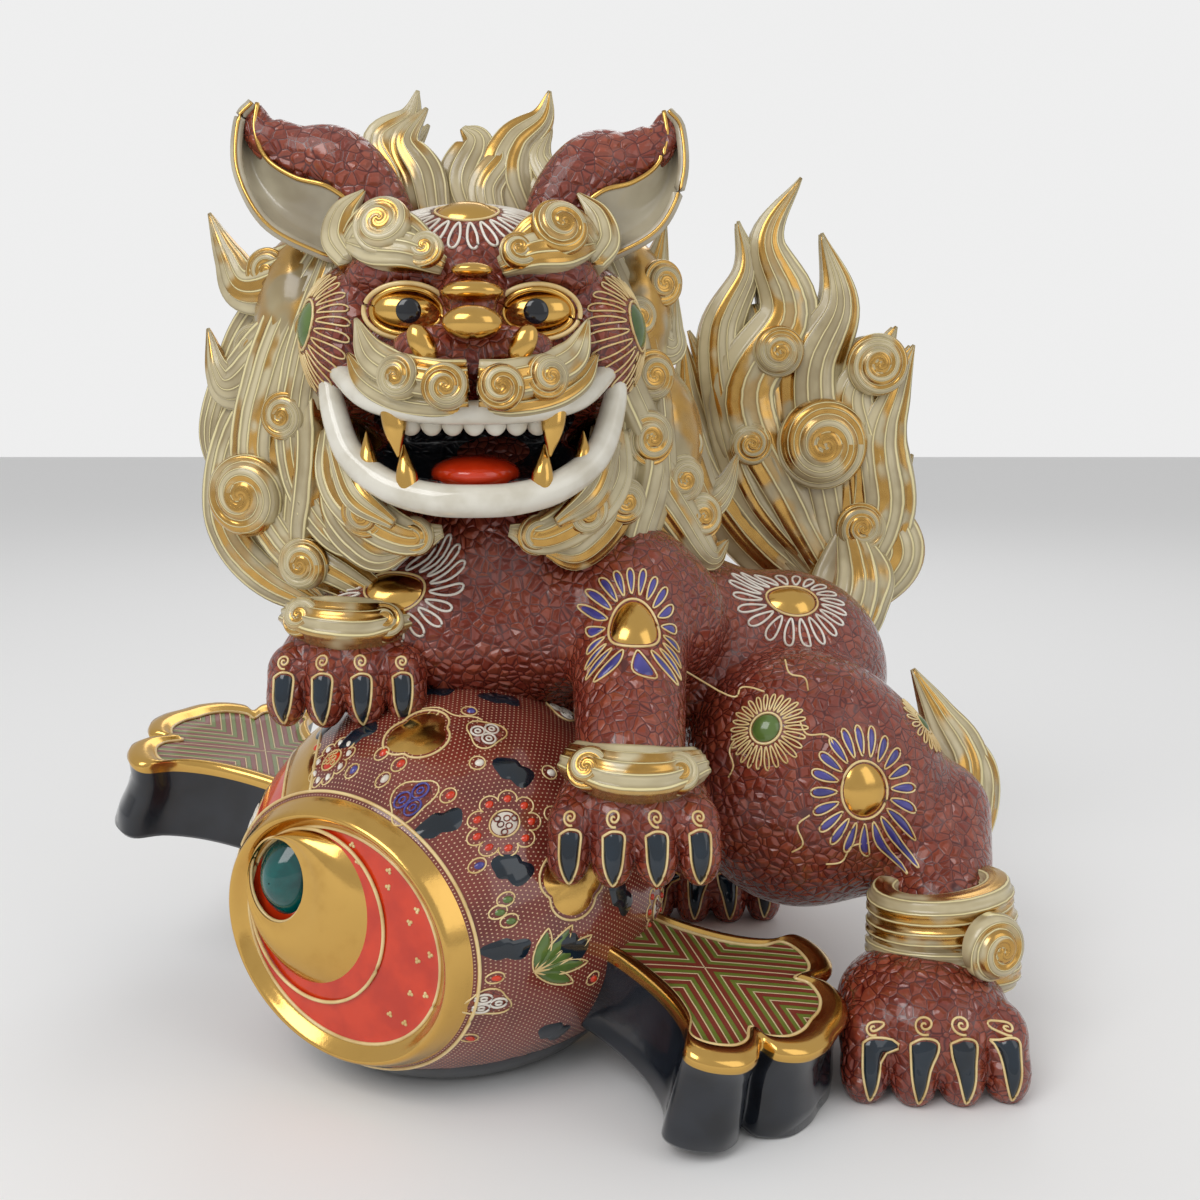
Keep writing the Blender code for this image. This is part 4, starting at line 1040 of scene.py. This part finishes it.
def make_motifs():
    """Enamel motifs on the drum: pines, bamboo, roundels, blots and drops."""
    clay = Clay()
    deg = math.radians

    def patch(angle, along, turn=0.0):
        return DrumSheet(deg(angle), along, turn)

    def fill(sheet, shape, slot, height=0.8, line=0.42, dome=3.0):
        raised(clay, sheet, shape, height, ink(slot), rings=5, dome=dome)
        if line:
            bead(clay, sheet, shape, line, ink("line"), lift=0.2)

    def pine(sheet, size):
        shape = loop(54, lambda t: size * (0.78 + 0.26 * np.abs(np.sin(1.5 * (t + math.pi / 6))) ** 0.8))
        fill(sheet, shape, "gold", 1.2, 0.55)
        for x in (-2.0, 2.0):
            bead(clay, sheet, [(x, -size * 0.75), (x, -size * 1.05)], 0.4, ink("line"), closed=False)
        wave = np.linspace(-1, 1, 30)
        bead(clay, sheet, np.stack([wave * size * 1.4, -size * 1.12 - 1.5 * np.cos(wave * 7)], -1), 0.42, ink("line"),
             closed=False)

    def roundel(sheet, size, core, drops):
        fill(sheet, oval(size * 0.42, size * 0.42), core, 0.8)
        for k in range(3):
            for r in (0.14, 0.28):
                a = 2.1 * k + r * 9
                bead(clay, sheet, oval(size * 0.09, size * 0.09, 10, (size * r * math.cos(a), size * r * math.sin(a))),
                     0.35, ink("line" if core != "petal" else "skin"), lift=0.7)
        for k in range(9):
            a = 2 * math.pi * k / 9
            spot = (size * 0.78 * math.cos(a), size * 0.78 * math.sin(a))
            fill(sheet, oval(size * 0.13, size * 0.13, 14, spot), drops, 1.0, 0)
            arc = np.linspace(a - 1.9, a + 1.9, 16)
            bead(clay, sheet, np.stack([spot[0] + size * 0.27 * np.cos(arc), spot[1] + size * 0.27 * np.sin(arc)], -1),
                 0.36, ink("line"), closed=False)

    def bamboo(sheet, size, slot):
        for k, turn in enumerate((-2.5, -2.05, -1.6, -1.15, -0.7)):
            fill(sheet, leaf(size * (1.0 - 0.12 * abs(k - 2)), size * 0.12, turn, (0, 0)), slot, 0.7, 0.38)

    def cluster(sheet, size, slot):
        fill(sheet, loop(30, lambda t: size * (1 + 0.16 * np.cos(3 * t))), "skin", 0.3, 0.4)
        for k in range(3):
            spot = (size * 0.45 * math.cos(2.1 * k + 0.5), size * 0.45 * math.sin(2.1 * k + 0.5))
            for scale in (0.36, 0.14):
                bead(clay, sheet, oval(size * scale, size * scale, 14, spot), 0.5, ink(slot), lift=0.4)

    for angle, along, size in ((95, 46, 15), (31, 38, 16), (-40, -10, 13), (60, -50, 13), (150, -20, 13),
                               (200, 40, 13)):
        pine(patch(angle, along, 0.2), size)
    for angle, along, size, core, drops in ((55, 54, 14.5, "petal", "red"), (118, 66, 12, "red", "petal"),
                                            (176, 10, 13, "petal", "red"), (128, -50, 12, "red", "petal"),
                                            (10, -20, 13, "petal", "red")):
        roundel(patch(angle, along), size, core, drops)
    for angle, along, size, slot in ((118, 30, 28, "green"), (8, 60, 28, "green"), (35, -4, 26, "blue"),
                                     (190, -30, 18, "green"), (-14, 14, 18, "blue"), (100, -30, 20, "green")):
        bamboo(patch(angle, along, 0.4), size, slot)
    for angle, along, size, slot in ((80, 72, 9.5, "blue"), (80, 30, 8, "petal"), (-2, 76, 8.5, "petal"),
                                     (16, -48, 8, "petal"), (200, 66, 8, "blue"), (76, -24, 8, "petal"),
                                     (160, 72, 8, "petal")):
        cluster(patch(angle, along), size, slot)
    for angle, along, turn in ((105, 14, 0.2), (114, 52, 0.8), (158, 62, 1.2), (66, 36, 0.3), (67, 72, 1.0),
                               (42, 60, 0.5), (18, 70, 1.2), (13, 44, 0.9), (21, 14, 0.6), (-18, 40, 1.1),
                               (134, 40, 1.5), (54, 10, 0.2), (-4, -30, 1.2), (164, -44, 0.5), (206, 12, 1.0),
                               (110, -64, 0.4), (48, -30, 0.9), (88, 2, 0.7)):
        fill(patch(angle, along, turn), loop(30, lambda t: 8.5 * (1 + 0.3 * np.cos(2 * t) + 0.1 * np.cos(5 * t))),
             "night", 0.8, 0)
    for angle, along, slot in ((93, 70, "petal"), (72, 62, "red"), (8, 74, "red"), (-20, 76, "red"), (89, 22, "blue"),
                               (74, 44, "petal"), (92, 62, "red"), (100, 60, "red"), (31, 70, "green"),
                               (27, 67, "green"), (34, 66, "green"), (50, 34, "red"), (48, 70, "blue"),
                               (106, 70, "blue"), (130, 56, "red"), (0, 30, "red"), (160, 28, "red"),
                               (186, 20, "petal"), (60, 22, "petal"), (38, 16, "red")):
        sheet = patch(angle, along, 0.8)
        fill(sheet, oval(2.2, 1.9, 14), slot, 1.1, 0)
        bead(clay, sheet, loop(20, lambda t: 3.3 + 0.9 * np.cos(t)), 0.38, ink("line"))
    clay.build("drum_motifs", PALETTE, [])
    clay = Clay()
    t = np.linspace(0, 1, 60)
    low_edge, high_edge = [], []
    for turn_at, width in ((0, 7.5),):
        along = DRUM_LONG * (0.98 - 1.75 * t)
        angle = deg(152) - deg(34) * np.abs(t - 0.45) * 1.6
        s = np.linspace(-1, 1, 7)[:, None]
        strip = drum_skin(angle[None] + s * deg(width), along[None] + 0 * s, 0.8 * (1 - s ** 6) - 0.3 * s ** 6)
        clay.grid(strip, np.stack(np.broadcast_arrays(s * 3, t[None] * 20), -1), ink("gold"))
        for s_edge in (-1, 1):
            tube(clay, drum_skin(angle + s_edge * deg(width), along, 0.3), 0.7, ink("line"), 6)
        s = np.linspace(0, 1, 14)[:, None]
        field = drum_skin(angle[None] + deg(width) + s * deg(24), along[None] + 0 * s, 0.45 - 0.9 * s ** 8)
        clay.grid(field, np.stack(np.broadcast_arrays(s * 3, t[None] * 20), -1), ink("red"))
    clay.build("drum_band", PALETTE, [])


# ---- the head ------------------------------------------------------------------------------------
def blob(clay, centre, radii, slot=0, tilt=0.0):
    """Ellipsoid, turned by tilt in the face's plane."""
    a = np.linspace(0, np.pi, 28)[:, None]
    t = np.linspace(0, 2 * np.pi, 41)[None, :]
    local = np.stack(np.broadcast_arrays(np.sin(a) * np.cos(t), np.sin(a) * np.sin(t), np.cos(a)), -1) * radii
    clay.grid(from_head(np.asarray(centre) + local @ turn_y(tilt).T), local[..., ::2] * 0.1, slot)


def mouth_field(q):
    return melt([egg(q, (0, -56, -42), (47, 50, 15)), egg(q, (-30, -58, -36), (24, 40, 12)),
                 egg(q, (30, -58, -36), (24, 40, 12))], 2.0)


def head_field(p):
    q = to_head(p)
    solid = melt([
        egg(q, (0, 5, 4), (72, 64, 58)), egg(q, (0, -24, 34), (50, 34, 26)), egg(q, (-54, -22, 2), (22, 32, 32)),
        egg(q, (54, -22, 2), (22, 32, 32)), egg(q, (0, -46, -6), (42, 34, 22)), egg(q, (0, -28, -52), (50, 44, 15)),
        egg(q, (-20, -74, -2), (12, 10, 9)), egg(q, (20, -74, -2), (12, 10, 9)), egg(q, (0, -60, 14), (15, 18, 16)),
        egg(q, (-30, -46, 30), (22, 16, 10)), egg(q, (30, -46, 30), (22, 16, 10)),
    ], 3.5)
    sockets = melt([egg(q, (-27, -68, 13), (18, 11, 10)), egg(q, (27, -68, 13), (18, 11, 10))], 1.0)
    solid = -melt([-solid, sockets], 2.0)
    return -melt([-solid, mouth_field(q)], 1.2)


def head_lock(clay, points, widths, facing=(0, -1, 0), **more):
    lock(clay, from_head(np.asarray(points, float)), widths, np.asarray(facing, float) @ HEAD_TURN.T, **more)


def head_curl(clay, centre, radius, facing=(0, -1, 0), **more):
    curl(clay, from_head(np.asarray(centre, float)), np.asarray(facing, float) @ HEAD_TURN.T, radius, **more)


def mirrored(points, side):
    return [(x * side, y, z) for x, y, z in points]


def make_head():
    clay = Clay()
    # painted shade: points on the carved mouth get the per-point value that turns the skin glaze near black there
    net_piece(clay, head_field, HEAD_CENTRE - [82, 92, 76], HEAD_CENTRE + [82, 76, 68], 1.8,
              gilt_and_painted_shade=lambda p: 1 - smooth_step(mouth_field(to_head(p)), 0.4, 1.4))
    clay.build("head_skin", [SKIN_GLAZE], ["head", "lower_jaw"])
    clay = Clay()
    right_lip = [(62, -38, -10), (60, -46, -26), (52, -58, -46), (36, -70, -58), (18, -77, -63), (0, -79, -64)]
    lip = right_lip + mirrored(right_lip[::-1], -1)[1:]
    path = path_through(lip, 90)
    tube(clay, from_head(path), 3.0 + 3.9 * np.sin(np.linspace(0, np.pi, 90)) ** 0.35, 0, 20)
    upper = [(58, -44, -10), (44, -66, -22), (24, -80, -27), (0, -84, -28), (-24, -80, -27), (-44, -66, -22), (-58, -44, -10)]
    tube(clay, from_head(path_through(upper, 70)), 5.0, 0, 16)
    for x in np.linspace(-26, 26, 7):
        blob(clay, (x, -76 + 0.008 * x * x, -32), (4.7, 4.0, 5.6), 0)
    clay.build("lips_teeth", [WHITE], ["upper_teeth"])
    clay = Clay()
    fangs = [((33, -74, -24), (31, -76, -46), 5.6), ((-33, -74, -24), (-31, -76, -46), 5.6),
             ((27, -76, -62), (29, -72, -41), 5.0), ((-27, -76, -62), (-29, -72, -41), 5.0),
             ((-43, -66, -56), (-45, -60, -36), 4.6), ((45, -64, -54), (46, -58, -36), 4.2)]
    for root, tip, wide in fangs:
        mid = (np.array(root) + tip) / 2 + [0, -1.5, 0]
        head_lock(clay, [root, mid, tip], [wide, wide * 0.8, 0.4], thick=0.9, strands=1, groove=0)
    for x in (-20, 20):
        blob(clay, (x, -83, -1), (5.2, 4.5, 8.5), 0, math.copysign(0.5, x))
    blob(clay, (0, -88, 7), (12, 9, 7.0), 0)
    blob(clay, (0, -76, 20), (12.5, 8, 4.6), 0)
    blob(clay, (0, -70, 29), (8.5, 6, 3.2), 0)
    clay.build("fangs_nose", [GOLD_LUSTRE], ["upper_fang_left", "upper_fang_right", "lower_fang_left",
                                             "lower_fang_right", "lower_fang_outer", "nose", "nose_bridge"])
    clay = Clay()
    blob(clay, (0, -52, -54), (19, 24, 8), 0)
    clay.build("tongue_fine", [RED], ["tongue"])
    for name, side in (("left", -1), ("right", 1)):
        clay = Clay()
        blob(clay, (side * 27, -59, 13), (14.5, 8.5, 8.6), 0, side * -0.12)
        for scale in (1.0, 1.22):
            t = np.linspace(0, 2 * np.pi, 61)[:-1]
            rim = np.stack([side * 27 + 14.5 * scale * np.cos(t), -64.0 + 0.016 * (14.5 * np.cos(t)) ** 2,
                            13 + 9.2 * scale * np.sin(t)], -1)
            tube(clay, from_head(rim), 1.3 / scale, 0 if scale == 1 else 2, 8, closed=True)
        blob(clay, (side * 26, -67.2, 13), (5.2, 1.9, 5.2), 1)
        clay.build(f"eye_{name}_fine", [GOLD_LUSTRE, BLACK, EXTRA["line"]], [f"eye_{name}"])


def make_face_hair():
    clay = Clay()
    for side in (-1, 1):
        for k, (points, widths) in enumerate((
                ([(2, -86, -14), (15, -86, -15), (29, -79, -12), (41, -69, -5), (48, -61, 10)], [8, 9.5, 9.5, 8, 1]),
                ([(2, -84, -23), (16, -83, -24), (32, -75, -21), (44, -66, -14), (52, -58, -4)], [7, 8, 8.5, 7, 1]))):
            head_lock(clay, mirrored(points, side), widths, (0, -1, 0.25), thick=0.7, strands=4, start_strand=k * 5)
        head_curl(clay, (side * 11, -93, -18), 9.5, (0, -1, 0.1), hand=side, turns=1.8, depth=0.6)
        head_curl(clay, (side * 29, -84, -14), 9.5, (side * 0.4, -1, 0.1), hand=side, turns=1.8, depth=0.6)
    clay.build("moustache_fine", [HAIR], ["moustache"])
    for name, side in (("left", -1), ("right", 1)):
        clay = Clay()
        for k, (points, widths) in enumerate((
                ([(12, -62, 31), (24, -64, 36), (38, -57, 38), (50, -44, 42)], [5, 9, 10, 5]),
                ([(16, -58, 38), (28, -58, 46), (42, -48, 48), (54, -36, 40)], [5, 9, 10, 5]),
                ([(50, -46, 34), (56, -36, 44), (54, -30, 56), (46, -28, 66)], [7, 9, 7, 1]))):
            head_lock(clay, mirrored(points, side), widths, (side * 0.2, -1, 0.3), thick=0.75, strands=4, start_strand=k * 5)
        head_curl(clay, (side * 36, -60, 47), 12.5, (side * 0.3, -1, 0.45), hand=side, turns=1.9, depth=0.5)
        head_curl(clay, (side * 19, -66, 37), 8.0, (side * 0.1, -1, 0.4), hand=-side, turns=1.6, depth=0.55)
        clay.build(f"brow_{name}_fine", [HAIR], [f"brow_{name}"])
        clay = Clay()
        for k, (points, widths) in enumerate((
                ([(60, -30, -36), (58, -42, -56), (46, -54, -70), (28, -60, -80), (14, -60, -78)], [10, 13, 13, 10, 3]),
                ([(64, -22, -50), (60, -30, -72), (44, -44, -88), (30, -50, -88)], [9, 13, 11, 3]),
                ([(60, -44, -40), (50, -60, -62), (34, -68, -74)], [5, 8, 3]))):
            head_lock(clay, mirrored(points, side), widths, (side * 0.4, -1, -0.1), strands=5, start_strand=k * 6)
        head_curl(clay, (side * 46, -58, -70), 11, (side * 0.3, -1, -0.2), hand=-side, turns=1.8)
        head_curl(clay, (side * 26, -60, -80), 9, (side * 0.2, -1, -0.2), hand=side, turns=1.7)
        clay.build(f"beard_{name}_fine", [HAIR], [f"beard_{name}"])


LEFT_MANE = [
    ([(-50, 4, 48), (-80, 0, 32), (-102, 8, 28), (-112, 14, 42), (-121, 18, 62)], [13, 17, 14, 8, 1]),
    ([(-60, 0, 24), (-86, -4, 2), (-108, 6, -16), (-118, 12, -10), (-124, 18, 10)], [13, 17, 14, 8, 1]),
    ([(-58, -6, 54), (-78, -10, 16), (-92, -8, -20), (-98, -2, -52), (-84, -10, -86), (-56, -22, -104),
      (-32, -26, -118)], [10, 15, 16, 16, 15, 11, 2]),
    ([(-60, -18, 38), (-70, -22, 4), (-77, -20, -28), (-75, -20, -58), (-60, -28, -82), (-40, -34, -92)],
     [8, 12, 13, 13, 11, 2]),
    ([(-70, 10, 20), (-98, 8, -24), (-112, 12, -52), (-114, 12, -82), (-94, 4, -106), (-60, -8, -124)],
     [12, 16, 16, 15, 13, 2]),
    ([(-66, 14, 40), (-96, 16, 12), (-112, 18, -14), (-122, 20, -40), (-120, 20, -66)], [14, 16, 13, 10, 3]),
]
RIGHT_MANE = [
    ([(46, 6, 48), (68, 2, 36), (82, 6, 32), (86, 12, 42), (91, 18, 60)], [11, 14, 11, 7, 1]),
    ([(56, 4, 24), (76, 0, 10), (90, 6, 2), (93, 12, 12), (96, 18, 30)], [11, 14, 11, 7, 1]),
    ([(54, -6, 52), (68, -12, 10), (76, -10, -28), (82, -8, -54), (98, -2, -80), (112, 8, -98), (124, 20, -92)],
     [9, 14, 15, 15, 13, 9, 1]),
    ([(56, -20, 28), (64, -22, -8), (66, -22, -40), (64, -22, -66), (76, -16, -92), (92, -4, -112), (104, 8, -127)],
     [8, 12, 13, 13, 13, 10, 2]),
    ([(66, 10, 10), (86, 10, -20), (98, 12, -50), (110, 18, -72), (122, 24, -66), (130, 30, -50)],
     [12, 15, 15, 12, 7, 1]),
    ([(62, -14, -50), (64, -20, -80), (56, -26, -104), (62, -26, -122)], [10, 13, 10, 2]),
    ([(80, 6, -60), (86, 2, -92), (80, -2, -116), (88, 0, -134)], [12, 15, 11, 2]),
]


def make_mane():
    clay = Clay()
    masses = [((-76, 14, 10), (26, 34, 44)), ((-86, 16, -44), (24, 30, 34)), ((-62, 0, -84), (24, 20, 22)),
              ((74, 16, 12), (20, 32, 40)), ((84, 18, -44), (26, 30, 38)), ((84, 12, -86), (26, 22, 30)),
              ((0, 30, 44), (58, 42, 26)), ((-4, 48, 0), (74, 30, 54)), ((-2, 52, -56), (76, 32, 46)),
              ((28, 60, -84), (42, 24, 30))]
    net_piece(clay, lambda p: melt([egg(to_head(p), c, r) for c, r in masses], 4.0),
              HEAD_CENTRE - [115, 40, 125], HEAD_CENTRE + [115, 100, 76], 3.0)
    for side, group in ((-1, LEFT_MANE), (1, RIGHT_MANE)):
        for k, (points, widths) in enumerate(group):
            head_lock(clay, points, widths, (side * 0.35, -1, 0.1), thick=0.6, strands=6, start_strand=k * 7, samples=48)
    for x, z, radius, y, hand in ((-104, -66, 19, -8, 1), (-98, 0, 12, 0, -1), (-78, -96, 12, -22, 1),
                                  (-84, -30, 11, -22, 1), (78, -40, 13, -22, -1), (96, -60, 12, -6, 1),
                                  (106, -78, 12, 0, -1), (66, -68, 11, -32, 1), (74, 14, 10, -14, -1),
                                  (84, -104, 11, -14, 1),
                                  (86, 30, 11, -4, 1), (80, -12, 12, -16, 1), (-92, 34, 11, 0, 1),
                                  (-70, 8, 9, -24, -1), (100, -44, 9, 4, -1)):
        head_curl(clay, (x, y, z), radius, (math.copysign(0.35, x), -1, 0), hand=hand, turns=2.1, depth=0.45)
    for k in range(17):
        rows = []
        for turn, wide, deep, z in ((0, 40, 26, 66), (3, 66, 48, 36), (8, 80, 62, -6), (-4, 90, 64, -50),
                                    (6, 88, 60, -92), (0, 78, 54, -118)):
            a = math.radians(-120 + 15 * k + turn * (-1) ** k)
            rows.append((wide * math.sin(a), 18 + deep * math.cos(a), z + 8 * (k % 2)))
        head_lock(clay, rows, [11, 17, 19, 19, 16, 2], (math.sin(a), math.cos(a), 0.1), thick=0.55, strands=5,
                  start_strand=k * 6, samples=48)
    clay.build("mane_fine", [HAIR], [
        "mane_upper_left", "mane_middle_left", "mane_lower_left", "mane_upper_right", "mane_middle_right",
        "mane_lower_right", "mane_nape", "mane_back", "chest_lock_left", "chest_lock_right"])
    clay = Clay()
    crest = [
        ([(-34, 2, 52), (-32, 4, 74), (-40, 8, 92), (-28, 10, 104), (-24, 10, 116)], [12, 14, 11, 6, 1]),
        ([(-18, -4, 54), (-22, 0, 76), (-30, 4, 92), (-20, 8, 108)], [10, 12, 8, 1]),
        ([(24, 2, 54), (16, 4, 76), (20, 8, 92), (32, 10, 104), (36, 10, 117)], [12, 15, 12, 7, 1]),
        ([(36, 0, 52), (36, 2, 72), (30, 6, 86), (36, 8, 100)], [10, 12, 9, 1]),
        ([(2, 0, 54), (-4, 4, 74), (2, 8, 92), (-4, 10, 100)], [10, 14, 10, 2]),
        ([(10, -6, 52), (6, -2, 70), (14, 2, 84), (12, 4, 92)], [8, 10, 8, 1]),
        ([(-46, 12, 40), (-48, 14, 62), (-52, 18, 78), (-46, 20, 92)], [11, 13, 9, 1]),
        ([(46, 12, 40), (48, 14, 62), (52, 18, 76), (48, 20, 90)], [11, 13, 9, 1]),
    ]
    for k, (points, widths) in enumerate(crest):
        head_lock(clay, points, widths, (0, -1, 0.2), thick=0.6, strands=5, start_strand=k * 6)
        head_lock(clay, [(x, y + 16, z - 4) for x, y, z in points], widths, (0, 1, 0.2), thick=0.6, strands=5,
                  start_strand=k * 3)
    clay.build("crest_fine", [HAIR], ["crest_flame_left", "crest_flame_right", "crest_flame_back"])


def make_ears():
    for name, side in (("left", -1), ("right", 0.93)):
        clay = Clay()
        path = path_through(mirrored([(38, -14, 40), (44, -16, 64), (58, -14, 80), (76, -12, 84), (90, -12, 92),
                                      (93, -12, 103)], side), 44)
        wide = spread([17, 15.5, 15, 12, 9, 2.5], 44)
        ahead, across, out = frames_along(path, (0, -1, 0.15))
        t = np.linspace(0, 2 * np.pi, 41)
        ring = path[:, None] + wide[:, None, None] * (np.cos(t)[None, :, None] * across[:, None]
                                                      + 0.75 * np.sin(t)[None, :, None] * out[:, None])
        ring = np.concatenate([ring, np.broadcast_to(path[-1:, None], ring[:1].shape)])
        clay.grid(from_head(ring), np.zeros(ring.shape[:2] + (2,)), 0)
        lower = path_through(mirrored([(50, -22, 36), (66, -26, 40), (88, -26, 52), (100, -20, 74), (100, -14, 96),
                                       (94, -13, 104)], side), 40)
        upper = path_through(mirrored([(50, -24, 60), (62, -25, 68), (76, -22, 72), (88, -19, 80), (93, -17, 92),
                                       (92, -14, 104)], side), 40)
        s = np.linspace(0, 1, 17)[None, :, None]
        bowl = lower[:, None] * (1 - s) + upper[:, None] * s
        bowl = bowl + np.array([0, 9.0, -3.0]) * np.sin(np.pi * s)
        outer = lower[:, None] * (1 - s) + upper[:, None] * s + np.array([0, 15.0, -5.0]) * np.sin(np.pi * s) ** 0.6
        clay.grid(from_head(bowl), np.zeros(bowl.shape[:2] + (2,)), 1)
        clay.grid(from_head(outer), np.zeros(bowl.shape[:2] + (2,)), 1)
        tube(clay, from_head(lower), 2.6, 1, 10)
        tube(clay, from_head(upper), 1.1, 2, 8)
        tube(clay, from_head(lower + [0, -2.6, 0]), 0.8, 2, 6)
        clay.build(f"ear_{name}_fine", [SKIN_GLAZE, EXTRA["scoop"], GOLD_LUSTRE], [f"ear_{name}"])


def make_face_flowers():
    clay = Clay()
    spot = from_head(np.array([-2.0, -40, 56]))
    paint_flower(clay, Sheet(head_field, spot, (0, -0.6, 0.8)), 33, 13, 22, None, False, "gold", 0.8)
    for side in (-1, 1):
        spot = from_head(np.array([side * 66.0, -34, 8]))
        paint_flower(clay, Sheet(head_field, spot, (side * 0.75, -0.75, 0)), 23, 8, 24, None, True, "green", 1.1)
    clay.build("face_flowers", PALETTE, [])


# ---- everything together -----------------------------------------------------------------------
def make_camera():
    data = bpy.data.cameras.new("camera")
    data.lens = 38.19
    data.sensor_width = 36
    data.clip_end = 20
    camera = bpy.data.objects.new("camera", data)
    camera.location = (0.02528, -0.62694, 0.292)
    camera.rotation_euler = (math.radians(81.07), 0, 0)
    bpy.context.scene.collection.objects.link(camera)
    bpy.context.scene.camera = camera


def make_light(name, place, aim, size, power, tint=(1, 1, 1)):
    data = bpy.data.lights.new(name, "AREA")
    data.shape = "RECTANGLE"
    data.size, data.size_y = size
    data.energy = power
    data.color = tint
    lamp = bpy.data.objects.new(name, data)
    lamp.location = place
    lamp.rotation_euler = (Vector(aim) - Vector(place)).to_track_quat("-Z", "Y").to_euler()
    bpy.context.scene.collection.objects.link(lamp)


def make_floor():
    mesh = bpy.data.meshes.new("floor")
    mesh.from_pydata([(-6, -6, 0), (6, -6, 0), (6, 6, 0), (-6, 6, 0)], [], [(0, 1, 2, 3)])
    floor = bpy.data.objects.new("floor", mesh)
    bpy.context.scene.collection.objects.link(floor)
    material = bpy.data.materials.new("floor_paper")
    material.use_nodes = True
    material.node_tree.nodes["Principled BSDF"].inputs["Base Color"].default_value = (0.86, 0.86, 0.86, 1)
    material.node_tree.nodes["Principled BSDF"].inputs["Roughness"].default_value = 0.7
    mesh.materials.append(material)


def make_world():
    world = bpy.data.worlds.new("studio")
    bpy.context.scene.world = world
    world.use_nodes = True
    background = world.node_tree.nodes["Background"]
    background.inputs["Color"].default_value = (1, 1, 1, 1)
    background.inputs["Strength"].default_value = 0.62
    path = world.node_tree.nodes.new("ShaderNodeLightPath")
    seen = world.node_tree.nodes.new("ShaderNodeMath")
    seen.operation = "MULTIPLY_ADD"
    seen.inputs[1].default_value = 0.24
    seen.inputs[2].default_value = 0.62
    world.node_tree.links.new(path.outputs["Is Camera Ray"], seen.inputs[0])
    world.node_tree.links.new(seen.outputs[0], background.inputs["Strength"])


make_body()
make_paws()
make_flowers()
make_head()
make_face_hair()
make_mane()
make_ears()
make_face_flowers()
make_cuffs()
make_tail()
make_drum()
make_discs()
make_wings()
make_motifs()
make_camera()
make_world()
make_floor()
make_light("key", (-0.9, -1.3, 1.7), (0, 0, 0.2), (1.2, 1.2), 19)
make_light("fill", (1.4, -1.0, 1.0), (0, 0, 0.2), (1.0, 1.4), 4)
make_light("back", (0.2, 1.6, 1.6), (0, 0, 0.2), (1.2, 0.8), 5)
bpy.context.scene.view_settings.view_transform = "Standard"
